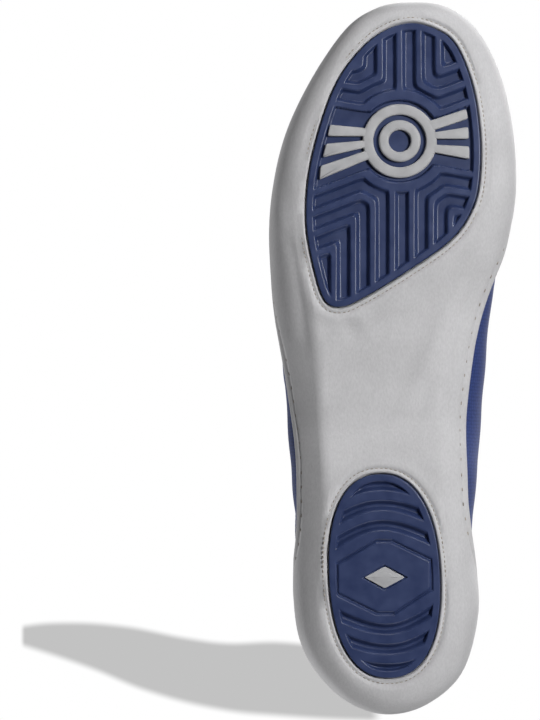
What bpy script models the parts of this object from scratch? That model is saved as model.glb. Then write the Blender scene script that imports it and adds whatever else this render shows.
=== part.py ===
"""A right boxing boot as an assembly: suede wrap sole with two rubber tread pods, upper, tongue and lace.

The boot stands on its tread at z = 0 with its toe at -Y, its heel at +Y and its medial side at +X.
Lengths below are in millimetres and become metres when an object is made.
"""

import math

import bmesh
import bpy
import numpy as np
from mathutils import Vector
from mathutils.geometry import delaunay_2d_cdt

MM = 0.001
GAP = 0.3  # between pieces that touch

# Sole: levels of the outer face of the suede near the pods and of what is stacked on it
SUEDE_LEVEL = 1.2
SUEDE_THICK = 1.5
WRAP_IN, WRAP_OUT = 0.9, 2.2  # the wrap as an offset from the upper's outer face
BODY_LEVEL = SUEDE_LEVEL + WRAP_OUT
ARCH_RISE = 5.8
TOE_CREASE_Y, TOE_SLOPE = -85.0, math.tan(math.radians(4.5))
FOAM_THICK, BOARD_THICK, SOCK_THICK = 2.8, 1.2, 3.0
PLATE_GRID, STACK_GAP, SHANK_THICK = 12.0, 0.5, 2.2
GROOVE_DEPTH, POCKET_DEPTH = 1.8, 1.2
RIM_WIDTH = 3.1
POD_TOP = BODY_LEVEL - GAP

# Upper: thickness of its layers
SHELL = 1.2
OVERLAY_IN, OVERLAY_OUT = 0.6, 1.7
COUNTER_IN, COUNTER_OUT = -3.6, -2.2
PADDING_IN, PADDING_OUT = -6.6, -2.6
LINING_IN, LINING_OUT = -8.0, -7.0

# Widest outline of the upper from the heel round the medial side to the toe and back
OUTLINE = [
    (-3.0, 141.8), (12.6, 138.1), (26.6, 125.4), (32.8, 103.0), (32.0, 80.0), (33.4, 61.0),
    (36.0, 37.0), (38.2, 13.0), (39.6, -8.0), (41.4, -27.0), (44.6, -46.0), (47.7, -68.0),
    (46.2, -93.0), (41.2, -114.5), (32.6, -131.0), (21.0, -139.8), (7.6, -141.4), (-5.3, -139.4),
    (-18.2, -130.4), (-33.3, -106.7), (-42.8, -84.0), (-47.3, -57.0), (-46.6, -30.0), (-44.3, -8.0),
    (-42.8, 15.0), (-40.2, 50.0), (-37.8, 75.0), (-37.7, 97.0), (-35.4, 113.0), (-29.2, 125.3),
    (-17.8, 136.6),
]
FOREFOOT_POD = [
    (6.2, -133.9), (17.3, -131.2), (25.2, -124.4), (31.6, -107.8), (34.3, -89.0), (34.1, -71.6),
    (31.2, -59.5), (23.1, -47.5), (6.6, -35.4), (-13.5, -23.3), (-21.9, -20.3), (-27.6, -23.3),
    (-31.7, -35.4), (-34.8, -53.0), (-34.0, -71.6), (-30.0, -89.7), (-23.6, -107.8), (-15.9, -119.9),
    (-5.6, -129.6),
]
HEEL_POD_CENTRE, HEEL_POD_HALF, HEEL_POD_POWER = (-3.7, 86.9), (22.1, 40.6), 2.3

# Tread
RING_CENTRE = (2.4, -86.5)
RING_RADII, HUB_RADII = (10.5, 14.8), (4.4, 8.4)
COLLAR_RADII = (16.4, 20.5)
RIDGE_PITCH, RIDGE_WIDTH = 7.75, 3.3
RAYS = [  # (near corner, near corner, far corner, far corner) about the ring
    [(-12.2, -91.9), (-12.2, -88.6), (-26.4, -88.4), (-25.4, -93.0)],
    [(-12.2, -86.6), (-11.8, -83.9), (-28.3, -79.9), (-27.1, -85.3)],
    [(-11.4, -82.4), (-9.8, -79.3), (-29.7, -71.0), (-29.2, -76.5)],
    [(14.0, -94.6), (16.0, -90.9), (29.7, -95.4), (28.9, -99.3)],
    [(16.2, -89.9), (16.2, -87.5), (30.0, -87.3), (29.7, -92.1)],
    [(16.0, -84.8), (15.2, -82.0), (30.2, -79.2), (30.1, -84.3)],
]
HEXAGON = [(-24.5, 82.0), (-7.2, 72.9), (-0.9, 72.9), (15.4, 80.6), (15.4, 92.1), (0.2, 101.7),
           (-6.6, 101.7), (-24.5, 93.8)]
HEEL_RIDGES = [(53.6, 9.0), (61.0, 13.0), (68.8, 15.0), (110.2, -13.0), (117.8, -9.0)]  # axis y, drop
BADGE_CENTRE, BADGE_HALF = (-3.6, 87.4), (8.5, 4.6)

# How far the side under-curve reaches in, how high it rises and how far up the wrap goes, along y
UNDERCUT_MEDIAL = [(-142, 5), (-126, 6.5), (-110, 8.6), (-90, 10), (-60, 12.4), (-10, 20), (20, 21),
                   (50, 16.5), (85, 11.5), (142, 9)]
UNDERCUT_LATERAL = [(-142, 5), (-126, 6), (-110, 7.1), (-90, 8.5), (-70, 10.2), (-50, 11.3), (0, 14),
                    (50, 13.5), (85, 10.8), (142, 9)]
# How straight the wall rises from the sole, from 0 for a round bend to 1 for a straight slope
SLOPE_LATERAL = [(-142, 0), (-60, 0.1), (-15, 0.5), (60, 0.55), (100, 0.35), (142, 0)]
SLOPE_MEDIAL = [(-142, 0), (-40, 0), (0, 0.25), (60, 0.2), (100, 0), (142, 0)]
RISE_MEDIAL = [(-142, 12), (-60, 14), (-10, 22), (20, 24), (50, 21), (85, 16), (142, 15)]
RISE_LATERAL = [(-142, 12), (-60, 14), (0, 18), (50, 18), (85, 16), (142, 15)]
WRAP_MEDIAL = [(-142, 25), (-100, 26), (-60, 25), (-31, 18), (-10, 15.5), (13, 14.6), (49, 12.5),
               (61, 13), (73, 15.5), (92, 24), (120, 32), (142, 34)]
WRAP_LATERAL = [(-142, 25), (-100, 26), (-50, 25), (-20, 21), (10, 15.5), (50, 14.6), (75, 19), (95, 27),
                (120, 32), (142, 34)]

# Top line as (share of the outline, distance from the centre line, y, z), and the way the upper meets it
TOP_LINE = [
    (0.0, 0.0, 126.0, 170.0), (0.045, 15.0, 121.5, 167.0), (0.09, 28.5, 106.0, 159.0),
    (0.14, 35.0, 80.0, 153.0), (0.185, 32.0, 54.0, 157.0), (0.225, 23.5, 37.0, 166.0),
    (0.262, 20.0, 31.0, 141.0), (0.3, 17.5, 26.0, 116.0), (0.335, 16.0, 8.0, 97.0),
    (0.365, 15.0, -12.0, 85.0), (0.395, 14.0, -31.0, 76.5), (0.425, 12.0, -47.0, 69.5),
    (0.46, 7.5, -57.0, 66.0), (0.5, 0.0, -61.0, 64.5),
]
TOP_WAY = [
    (0.0, 0.0, 0.25, 0.97), (0.09, 0.04, 0.08, 1.0), (0.14, 0.03, 0.0, 1.0), (0.185, -0.03, -0.03, 1.0),
    (0.225, -0.25, -0.12, 0.96), (0.262, -0.6, -0.22, 0.76), (0.3, -0.75, -0.12, 0.65),
    (0.335, -0.86, 0.0, 0.5), (0.38, -0.9, 0.18, 0.4), (0.42, -0.8, 0.45, 0.38), (0.46, -0.45, 0.82, 0.33),
    (0.5, 0.0, 0.95, 0.28),
]
HANDLES = [(0.0, 0.3, 0.35), (0.14, 0.32, 0.3), (0.3, 0.38, 0.3), (0.4, 0.34, 0.36), (0.5, 0.28, 0.45)]
COLUMNS = 80  # every piece of the upper is sampled at the same shares of the outline
VAMP_COLUMN, STAY_COLUMNS = 31, (19, 35)

# Throat and lace
THROAT_SHARES = (0.2375, 0.4375)
EYESTAY_WIDTH = 17.0
EYELET_ROWS = 7
EYELET_SHARES = (0.262, 0.425)
EYELET_INSET = 7.0
EYELET_BARREL, EYELET_BORE, EYELET_FLANGE = 3.0, 2.3, 3.9
LACE_RADIUS = 1.1
TONGUE_DROP, TONGUE_THICK, THROAT_RADIUS = 6.2, 4.0, 38.0
LACE_UNDER, LACE_OVER, LACE_CROSS = -3.2, 4.9, 5.2  # heights of its centre on the throat
FLAP_LENGTH, FLAP_NECK, FLAP_HALF = 38.0, 15.0, 20.0
FOLD_GAP = 1.0  # between the tongue and its flap, so that the flap can lean back
KEEPER_SHARE, KEEPER_HALF, KEEPER_REACH = 0.25, 6.0, 7.0
AGLET_RADIUS, AGLET_LENGTH = 1.3, 6.0

TAB_SHARE, TAB_FOOT, TAB_RISE, TAB_IN, TAB_OUT = 0.0115, 24.0, 12.0, 0.6, 2.2

SUEDE = ("suede", (0.52, 0.51, 0.53), 0.92, 0.0)
NAVY_RUBBER = ("navy_rubber", (0.034, 0.054, 0.15), 0.5, 0.0)
GREY_RUBBER = ("grey_rubber", (0.5, 0.5, 0.49), 0.55, 0.0)
BLUE_MESH = ("blue_mesh", (0.035, 0.07, 0.3), 0.8, 0.0)
BLUE_LEATHER = ("blue_leather", (0.02, 0.04, 0.2), 0.55, 0.0)
GREY_LEATHER = ("grey_leather", (0.5, 0.49, 0.51), 0.7, 0.0)
LINING = ("lining", (0.03, 0.045, 0.13), 0.9, 0.0)
FOAM = ("foam", (0.75, 0.75, 0.72), 0.9, 0.0)
BOARD = ("fibreboard", (0.45, 0.36, 0.24), 0.85, 0.0)
PLASTIC = ("plastic", (0.03, 0.03, 0.035), 0.45, 0.0)
METAL = ("metal", (0.5, 0.5, 0.52), 0.3, 1.0)
LACE = ("lace_cord", (0.6, 0.6, 0.61), 0.85, 0.0)


# ---------------------------------------------------------------- form

def spline(keys, x, period=None):
    """Smooth curve through keys (x, value, ...) at x; with a period it closes on itself."""
    keys = np.array(keys, float)
    knots, values = keys[:, 0], keys[:, 1:]
    x = np.asarray(x, float)
    if period:
        knots = np.concatenate([knots[-2:] - period, knots, knots[:2] + period])
        values = np.concatenate([values[-2:], values, values[:2]])
        x = x % period
    slopes = np.gradient(values, knots, axis=0)
    i = np.clip(np.searchsorted(knots, x, side="right") - 1, 0, len(knots) - 2)
    step = knots[i + 1] - knots[i]
    t = np.clip((x - knots[i]) / step, 0, 1)[..., None]
    step = step[..., None]
    return (
        values[i] * (2 * t**3 - 3 * t**2 + 1) + slopes[i] * step * (t**3 - 2 * t**2 + t)
        + values[i + 1] * (3 * t**2 - 2 * t**3) + slopes[i + 1] * step * (t**3 - t**2)
    )


def closed_curve(points, shares):
    """Points at these shares of the length of the smooth closed curve through the points."""
    points = np.array(points, float)
    count = len(points)
    keys = np.column_stack([np.arange(count), points])
    fine = spline(keys, np.linspace(0, count, count * 24, endpoint=False), period=count)
    loop = np.vstack([fine, fine[:1]])
    along = np.concatenate([[0], np.cumsum(np.linalg.norm(np.diff(loop, axis=0), axis=1))])
    where = (np.asarray(shares, float) % 1.0) * along[-1]
    return np.column_stack([np.interp(where, along, loop[:, k]) for k in range(2)])


def smooth_step(x):
    x = np.clip(x, 0, 1)
    return x * x * (3 - 2 * x)


def lift(x, y):
    """How far the sole stands off the floor: the arch of the waist and the spring of the toe."""
    across = 0.6 * x + 0.8 * y
    arch = ARCH_RISE * smooth_step((across + 27) / 25) * smooth_step((46 - y) / 24)
    return arch + np.maximum(0, TOE_CREASE_Y - y) * TOE_SLOPE


def centre_x(y):
    return -3.0 + 4.5 * smooth_step((30 - y) / 90)


def both_sides(keys, shares):
    """Keys given for the medial half of the outline, mirrored to the lateral half."""
    mirrored = [(1 - k[0], -k[1], *k[2:]) for k in keys[1:-1]]
    return spline(sorted([*keys, *mirrored]), shares, period=1.0)


def by_side(medial, lateral, shares, y):
    low, high = spline(medial, y)[:, 0], spline(lateral, y)[:, 0]
    return np.where((np.asarray(shares) % 1.0) < 0.5, low, high)


def meridians(shares, samples=120):
    """For each share of the outline, the line from under the sole up to the top line."""
    shares = np.asarray(shares, float)
    edge = closed_curve(OUTLINE, shares)
    ahead, behind = closed_curve(OUTLINE, shares + 0.002), closed_curve(OUTLINE, shares - 0.002)
    along = ahead - behind
    along /= np.linalg.norm(along, axis=1)[:, None]
    outward = np.column_stack([-along[:, 1], along[:, 0]])
    outward *= np.sign(np.sum(outward * edge, axis=1).sum())
    undercut = by_side(UNDERCUT_MEDIAL, UNDERCUT_LATERAL, shares, edge[:, 1])
    rise = by_side(RISE_MEDIAL, RISE_LATERAL, shares, edge[:, 1])
    foot = edge - outward * undercut[:, None]
    base = BODY_LEVEL + lift(foot[:, 0], foot[:, 1])
    straight = by_side(SLOPE_MEDIAL, SLOPE_LATERAL, shares, edge[:, 1])[:, None]
    t = np.linspace(0, 1, samples // 3)[None]
    phi = t * math.pi / 2
    inward = (1 - straight) * (1 - np.sin(phi)) + straight * (1 - t) ** 1.4
    upward = (1 - straight) * (1 - np.cos(phi)) + straight * t
    under_xy = edge[:, None] - (outward * undercut[:, None])[:, None] * inward[..., None]
    under_z = base[:, None] + rise[:, None] * upward
    under = np.dstack([under_xy, under_z])

    top = both_sides(TOP_LINE, shares)
    top[:, 0] += centre_x(top[:, 1])
    way = both_sides(TOP_WAY, shares)
    way /= np.linalg.norm(way, axis=1)[:, None]
    mirrored_handles = sorted(HANDLES + [(1 - k[0], *k[1:]) for k in HANDLES[1:-1]])
    handles = spline(mirrored_handles, shares, period=1.0)
    p0 = under[:, -1]
    reach = np.linalg.norm(top - p0, axis=1)[:, None]
    p1 = p0 + np.array([0, 0, 1.0]) * handles[:, :1] * reach
    p2 = top - way * handles[:, 1:] * reach
    t = np.linspace(0, 1, samples - samples // 3)[1:, None, None]
    side = (1 - t) ** 3 * p0 + 3 * (1 - t) ** 2 * t * p1 + 3 * (1 - t) * t**2 * p2 + t**3 * top
    return np.concatenate([under, side.transpose(1, 0, 2)], axis=1)


def lengths_of(lines):
    steps = np.linalg.norm(np.diff(lines, axis=1), axis=2)
    return np.concatenate([np.zeros((len(lines), 1)), np.cumsum(steps, axis=1)], axis=1)


def surface(shares, heights, offset):
    """Grid of points on the upper: a row of lengths up each meridian, moved out along the normal.

    heights has one row for each share, in millimetres up from the sole, or negative down from the top.
    """
    shares = np.asarray(shares, float)
    delta = 0.002
    grids = []
    for shift in (0, delta, -delta):
        lines = meridians(shares + shift)
        along = lengths_of(lines)
        wanted = np.where(heights < 0, along[:, -1:] + heights, heights)
        wanted = wanted[..., None] + np.array([0, 0.5, -0.5])
        wanted = np.clip(wanted, 0, along[:, -1:, None])
        grids.append(np.stack([
            np.stack([np.interp(wanted[i].ravel(), along[i], lines[i, :, k]) for k in range(3)], axis=1)
            .reshape(*wanted.shape[1:], 3)
            for i in range(len(shares))
        ]))
    here = grids[0][:, :, 0]
    normal = np.cross(grids[0][:, :, 1] - grids[0][:, :, 2], grids[1][:, :, 0] - grids[2][:, :, 0])
    normal /= np.linalg.norm(normal, axis=2)[..., None]
    return here + normal * offset, normal


# ---------------------------------------------------------------- making objects

def material(spec):
    name, colour, roughness, metallic = spec
    found = bpy.data.materials.get(name)
    if found:
        return found
    made = bpy.data.materials.new(name)
    made.use_nodes = True
    shader = made.node_tree.nodes["Principled BSDF"]
    shader.inputs["Base Color"].default_value = (*colour, 1)
    shader.inputs["Roughness"].default_value = roughness
    shader.inputs["Metallic"].default_value = metallic
    made.diffuse_color = (*colour, 1)
    return made


def add(name, points, faces, spec, origin=(0, 0, 0)):
    """An object from points in millimetres, with its origin where a joint turns it."""
    mesh = bpy.data.meshes.new(name)
    placed = (np.asarray(points, float) - np.asarray(origin, float)) * MM
    mesh.from_pydata(placed.tolist(), [], [list(f) for f in faces])
    bm = bmesh.new()
    bm.from_mesh(mesh)
    bmesh.ops.recalc_face_normals(bm, faces=bm.faces)
    bm.to_mesh(mesh)
    bm.free()
    mesh.materials.append(material(spec))
    made = bpy.data.objects.new(name, mesh)
    made.location = Vector(origin) * MM
    bpy.context.scene.collection.objects.link(made)
    return made


def combine(target, tool, operation):
    """A Boolean on the target; the tool stays in the file but isn't rendered."""
    tool.hide_render = True
    tool.display_type = "WIRE"
    modifier = target.modifiers.new(tool.name, "BOOLEAN")
    modifier.operation = operation
    modifier.solver = "EXACT"
    modifier.object = tool


def shell(name, shares, heights, inner, outer, spec):
    """A curved sheet between two offsets of the upper's surface."""
    outside, _ = surface(shares, heights, outer)
    inside, _ = surface(shares, heights, inner)
    rows, columns = outside.shape[0], outside.shape[1]
    points = np.concatenate([outside.reshape(-1, 3), inside.reshape(-1, 3)])
    half = rows * columns
    faces = []
    for i in range(rows - 1):
        n = i + 1
        for j in range(columns - 1):
            a, b, c, d = i * columns + j, n * columns + j, n * columns + j + 1, i * columns + j + 1
            faces += [(a, b, c, d), (a + half, d + half, c + half, b + half)]
        low, high = (i * columns, n * columns), (i * columns + columns - 1, n * columns + columns - 1)
        faces.append((low[0], low[0] + half, low[1] + half, low[1]))
        faces.append((high[0], high[1], high[1] + half, high[0] + half))
    last = (rows - 1) * columns
    for j in range(columns - 1):
        faces.append((j, j + 1, j + 1 + half, j + half))
        faces.append((last + j, last + j + half, last + j + 1 + half, last + j + 1))
    return add(name, points, faces, spec)


def band(shares, low, high, rows, ease=1.0):
    """Heights from low to high up each meridian, closer together at the low end if ease is over 1.

    Either end may be one value or one for each share; 0 or less is counted down from the top.
    """
    low = np.broadcast_to(np.asarray(low, float), len(shares))
    high = np.broadcast_to(np.asarray(high, float), len(shares))
    total = lengths_of(meridians(shares))[:, -1]
    low = np.where(low < 0, total + low, low)
    high = np.where(high <= 0, total + high - 0.01, high)
    return low[:, None] + (high - low)[:, None] * np.linspace(0, 1, rows)[None] ** ease


def upper_rows(shares):
    """Heights of the whole upper; its last rows are those of the eyestays."""
    lower = band(shares, 1.2, -EYESTAY_WIDTH, 8, 1.5)
    return np.column_stack([lower, band(shares, -EYESTAY_WIDTH, 0, 3)[:, 1:]])


def inside(loop, point):
    a = np.array(loop)
    b = np.roll(a, -1, axis=0)
    over = (a[:, 1] > point[1]) != (b[:, 1] > point[1])
    cross = a[:, 0] + (point[1] - a[:, 1]) / np.where(over, b[:, 1] - a[:, 1], 1) * (b - a)[:, 0]
    return np.sum(over & (cross > point[0])) % 2 == 1


def distance(path, point, closed=False):
    """How far a point is from a chain of straight lines."""
    a = np.array(path)
    b = np.roll(a, -1, axis=0)
    if not closed:
        a, b = a[:-1], b[:-1]
    span = b - a
    t = np.clip(np.sum((point - a) * span, axis=1) / np.maximum(np.sum(span * span, axis=1), 1e-9), 0, 1)
    return np.linalg.norm(a + span * t[:, None] - point, axis=1).min()


def triangulate(loops, spacing):
    """Points and triangles of the plane inside the first loop, with every loop kept as edges."""
    points, edges = [], []
    for loop in loops:
        first = len(points)
        points += [Vector(p) for p in loop]
        edges += [(first + i, first + (i + 1) % len(loop)) for i in range(len(loop))]
    if spacing:
        outer = np.array(loops[0])
        low, high = outer.min(0), outer.max(0)
        for x in np.arange(math.ceil(low[0] / spacing), high[0] / spacing) * spacing:
            for y in np.arange(math.ceil(low[1] / spacing), high[1] / spacing) * spacing:
                if inside(loops[0], (x, y)) and all(distance(p, (x, y), True) > spacing * 0.4 for p in loops):
                    points.append(Vector((x, y)))
    vertices, _, triangles, *_ = delaunay_2d_cdt(points, edges, [], 0, 1e-4)
    flat = np.array([tuple(v) for v in vertices])
    return flat, [tuple(t) for t in triangles if inside(loops[0], flat[list(t)].mean(axis=0))]


def stamp(name, loops, level_at, top, spec, spacing=0):
    """A slab over a plane region whose underside has the level that level_at gives, or is cut away for None.

    It follows the sole's arch and toe spring.
    """
    flat, triangles = triangulate(loops, spacing)
    raised = lift(flat[:, 0], flat[:, 1])
    cells = [(t, level_at(flat[list(t)].mean(axis=0))) for t in triangles]
    cells = [(t, level) for t, level in cells if level is not None]
    places, points, faces, sides = {}, [], [], {}

    def at(i, level):
        if (i, level) not in places:
            places[i, level] = len(points)
            points.append((*flat[i], level + raised[i]))
        return places[i, level]

    for t, level in cells:
        faces.append(tuple(at(i, level) for i in reversed(t)))
        faces.append(tuple(at(i, top) for i in t))
        for k in range(3):
            sides[t[k], t[(k + 1) % 3]] = level
    for (i, j), level in sides.items():
        beyond = sides.get((j, i), top)
        if level < beyond:
            faces.append((at(i, level), at(j, level), at(j, beyond), at(i, beyond)))
    return add(name, points, faces, spec)


def plate(name, loops, low, high, spec, spacing=0):
    """A slab inside the first loop and outside the others."""
    def level_at(point):
        return low if not any(inside(hole, point) for hole in loops[1:]) else None
    return stamp(name, loops, level_at, high, spec, spacing)


def circle(centre, radius, count=48):
    turns = np.linspace(0, 2 * math.pi, count, endpoint=False)
    return [(centre[0] + radius * math.cos(a), centre[1] + radius * math.sin(a)) for a in turns]


def offset_loop(loop, distance):
    """The loop moved outwards by a distance, or inwards by a negative one."""
    loop = np.array(loop)
    span = np.roll(loop, -1, axis=0) - np.roll(loop, 1, axis=0)
    outward = np.column_stack([span[:, 1], -span[:, 0]]) / np.linalg.norm(span, axis=1)[:, None]
    x, y = loop[:, 0], loop[:, 1]
    area = np.sum(x * np.roll(y, -1) - np.roll(x, -1) * y)
    return [tuple(p) for p in loop + outward * distance * np.sign(area)]


def tube(name, path, radius, spec):
    """A cord along a smooth curve through the points."""
    curve = bpy.data.curves.new(name, "CURVE")
    curve.dimensions = "3D"
    curve.bevel_depth = radius * MM
    curve.bevel_resolution = 0
    curve.use_fill_caps = True
    line = curve.splines.new("POLY")
    line.points.add(len(path) - 1)
    for point, place in zip(line.points, path):
        point.co = (*(np.asarray(place) * MM), 1)
    curve.materials.append(material(spec))
    made = bpy.data.objects.new(name, curve)
    bpy.context.scene.collection.objects.link(made)
    return made


# ---------------------------------------------------------------- sole

def pod_outline(points, count):
    return [tuple(p) for p in closed_curve(points, np.arange(count) / count)]


def heel_outline(grow=0.0, count=44):
    turns = np.linspace(0, 2 * math.pi, count, endpoint=False)
    c, s = np.cos(turns), np.sin(turns)
    power = 2 / HEEL_POD_POWER
    x = (HEEL_POD_HALF[0] + grow) * np.sign(c) * np.abs(c) ** power
    y = (HEEL_POD_HALF[1] + grow) * np.sign(s) * np.abs(s) ** power
    loop = np.column_stack([HEEL_POD_CENTRE[0] + x + 0.04 * y, HEEL_POD_CENTRE[1] + y])
    return [tuple(p) for p in closed_curve(loop, np.arange(count) / count)]


def foot_line(shares, inset):
    """The line under the sole where the flat bottom turns up, moved inwards."""
    line = meridians(shares)[:, 0, :2]
    return offset_loop(line, -inset)


def make_wrap():
    count, rows = COLUMNS, 6
    shares = np.arange(count) / count
    y = closed_curve(OUTLINE, shares)[:, 1]
    edge = by_side(WRAP_MEDIAL, WRAP_LATERAL, shares, y)
    heights = band(shares, 0.0, edge, rows)
    outside, _ = surface(shares, heights, WRAP_OUT)
    inner, _ = surface(shares, heights, WRAP_IN)
    flat_loop = meridians(shares)[:, 0, :2]
    outside[:, 0, :2] = inner[:, 0, :2] = flat_loop
    level = lift(flat_loop[:, 0], flat_loop[:, 1])
    outside[:, 0, 2] = SUEDE_LEVEL + level
    inner[:, 0, 2] = SUEDE_LEVEL + SUEDE_THICK + level
    windows = [offset_loop(pod_outline(FOREFOOT_POD, 48), GAP), offset_loop(heel_outline(), GAP)]
    loops = [[tuple(p) for p in flat_loop], *windows]
    flat, triangles = triangulate(loops, 12.0)
    triangles = [t for t in triangles
                 if not any(inside(w, flat[list(t)].mean(axis=0)) for w in windows)]
    used = sorted({i for t in triangles for i in t if i >= count})
    new = {old: count + n for n, old in enumerate(used)}
    triangles = [tuple(new.get(i, i) for i in t) for t in triangles]
    extra = flat[used]
    raised = lift(extra[:, 0], extra[:, 1])
    low = np.column_stack([extra, SUEDE_LEVEL + raised])
    high = np.column_stack([extra, SUEDE_LEVEL + SUEDE_THICK + raised])
    side = count * rows
    points = np.concatenate([outside.reshape(-1, 3), low, inner.reshape(-1, 3), high])
    half = side + len(extra)

    def place(index):
        return index * rows if index < count else side + index - count

    faces = []
    for t in triangles:
        faces.append(tuple(place(i) for i in reversed(t)))
        faces.append(tuple(place(i) + half for i in t))
    for i in range(count):
        n = (i + 1) % count
        for j in range(rows - 1):
            a, b, c, d = i * rows + j, n * rows + j, n * rows + j + 1, i * rows + j + 1
            faces += [(a, b, c, d), (a + half, d + half, c + half, b + half)]
        a, b = i * rows + rows - 1, n * rows + rows - 1
        faces.append((a, b, b + half, a + half))
    first = count
    for window in windows:
        for i in range(len(window)):
            a, b = place(first + i), place(first + (i + 1) % len(window))
            faces.append((a, a + half, b + half, b))
        first += len(window)
    return add("sole_wrap", points, faces, SUEDE)


def ridge_paths():
    """Centre lines of the forefoot ridges: down beside the axis, round the ring and out along the rays."""
    cx, cy = RING_CENTRE
    paths = []
    for toward_toe in (True, False):
        sign = -1 if toward_toe else 1
        first = 0.0 if toward_toe else 0.5
        for side in (-1, 1):
            slope = {(-1, -1): 10, (-1, 1): 21, (1, -1): 17, (1, 1): 12}[(sign, side)]
            a = math.radians(slope)
            out = np.array([side * math.cos(a), sign * math.sin(a)])
            up = np.array([-side * math.sin(a), sign * math.cos(a)])
            guard = 5.5 if toward_toe else 6.0
            for k in range(0, 4):
                step = (k + first) * RIDGE_PITCH
                radius = COLLAR_RADII[1] - RIDGE_WIDTH / 2 + step
                x = side * step
                start = math.atan2(x, math.sqrt(radius**2 - x**2))
                distance = guard + RIDGE_WIDTH / 2 + step
                reach = math.sqrt(radius**2 - distance**2)
                meet = up * distance + out * reach
                end = math.atan2(meet[0], sign * meet[1])
                arc = [
                    np.array([radius * math.sin(t), sign * radius * math.cos(t)])
                    for t in np.linspace(start, end, 5)
                ]
                path = [np.array([x, sign * 62.0])] + arc + [meet + out * 26.0]
                paths.append([(cx + p[0], cy + p[1]) for p in path])
    return paths


def strip(path, width):
    """The two edges of a flat band along a path, as one loop."""
    path = np.array(path)
    along = np.gradient(path, axis=0)
    along /= np.linalg.norm(along, axis=1)[:, None]
    left = np.column_stack([-along[:, 1], along[:, 0]]) * width / 2
    return [tuple(p) for p in np.concatenate([path + left, (path - left)[::-1]])]


def tread_level(rim, paths, plates, pockets):
    """The level of a pod's underside: 0 on the rim, ridges and plates, deeper in grooves and pockets."""
    def level_at(point):
        if any(inside(p, point) for p in pockets):
            return POCKET_DEPTH
        if not inside(rim, point) or any(inside(p, point) for p in plates):
            return 0.0
        if any(distance(path, point) < RIDGE_WIDTH / 2 for path in paths):
            return 0.0
        return GROOVE_DEPTH
    return level_at


def make_forefoot_pod():
    outline = pod_outline(FOREFOOT_POD, 48)
    rim = offset_loop(outline, -RIM_WIDTH)
    paths = ridge_paths()
    loops = [outline, rim] + [strip(p, RIDGE_WIDTH) for p in paths]
    stamp("forefoot_pod", loops, tread_level(rim, paths, [], []), POD_TOP, NAVY_RUBBER, 9.0)


def diamond(grow):
    cx, cy = BADGE_CENTRE
    hx, hy = BADGE_HALF[0] + grow * 2, BADGE_HALF[1] + grow * 1.1
    return [(cx - hx, cy), (cx, cy - hy), (cx + hx, cy), (cx, cy + hy)]


def make_heel_pod():
    outline = heel_outline()
    rim = offset_loop(outline, -RIM_WIDTH)
    across = np.linspace(-24, 24, 9)
    paths = [[(HEEL_POD_CENTRE[0] + x, y + drop * (abs(x) / 24) ** 1.6) for x in across]
             for y, drop in HEEL_RIDGES]
    pocket = diamond(GAP)
    loops = [outline, rim, HEXAGON, pocket] + [strip(p, RIDGE_WIDTH) for p in paths]
    stamp("heel_pod", loops, tread_level(rim, paths, [HEXAGON], [pocket]), POD_TOP, NAVY_RUBBER, 9.0)
    plate("heel_badge", [diamond(0.0)], 0.05, POCKET_DEPTH - GAP, GREY_RUBBER)


def make_pivot():
    """Two grey rings that the boxer turns on, the outer one with three tapered rays on each side."""
    top = GROOVE_DEPTH - GAP
    outer, bore = circle(RING_CENTRE, RING_RADII[1], 40), circle(RING_CENTRE, RING_RADII[0], 40)

    def level_at(point):
        on_ring = inside(outer, point) and not inside(bore, point)
        return 0.0 if on_ring or any(inside(ray, point) for ray in RAYS) else None

    frame = [(-45, -130), (45, -130), (45, -50), (-45, -50)]
    stamp("pivot_ring_outer", [frame, outer, bore, *RAYS], level_at, top, GREY_RUBBER)
    plate("pivot_ring_inner", [circle(RING_CENTRE, HUB_RADII[1], 32), circle(RING_CENTRE, HUB_RADII[0], 24)],
          0.0, top, GREY_RUBBER)


def with_short_edges(loop, longest):
    """The loop with its long edges divided, so that it can follow the sole's arch."""
    made = []
    for i in range(len(loop)):
        a, b = np.array(loop[i]), np.array(loop[(i + 1) % len(loop)])
        parts = max(1, math.ceil(np.linalg.norm(b - a) / longest))
        made += [tuple(a + (b - a) * k / parts) for k in range(parts)]
    return made


def cut_loop(loop, low, high):
    """The part of a loop between two values of y, closed straight across."""
    kept = []
    for i in range(len(loop)):
        a, b = np.array(loop[i]), np.array(loop[(i + 1) % len(loop)])
        if low <= a[1] <= high:
            kept.append(tuple(a))
        for y in sorted((low, high), key=lambda v: abs(v - a[1])):
            if (a[1] - y) * (b[1] - y) < 0:
                kept.append(tuple(a + (b - a) * (y - a[1]) / (b[1] - a[1])))
    return with_short_edges(kept, 8.0)


def make_inside_of_sole():
    shares = np.arange(COLUMNS) / COLUMNS
    loop = foot_line(shares, 0.5)
    level = BODY_LEVEL + GAP
    plate("midsole_forefoot", [cut_loop(loop, -200, -30.3)], level, level + FOAM_THICK, FOAM, PLATE_GRID)
    waist = cut_loop(offset_loop(loop, -1.5), -30, 44)
    plate("shank", [waist], level, level + SHANK_THICK, PLASTIC, PLATE_GRID)
    plate("midsole_heel", [cut_loop(loop, 44.3, 200)], level, level + FOAM_THICK, FOAM, PLATE_GRID)
    level += FOAM_THICK + STACK_GAP
    plate("lasting_board", [loop], level, level + BOARD_THICK, BOARD, PLATE_GRID)
    level += BOARD_THICK + STACK_GAP
    plate("sockliner", [loop], level, level + SOCK_THICK, LINING, PLATE_GRID)


# ---------------------------------------------------------------- upper

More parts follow.
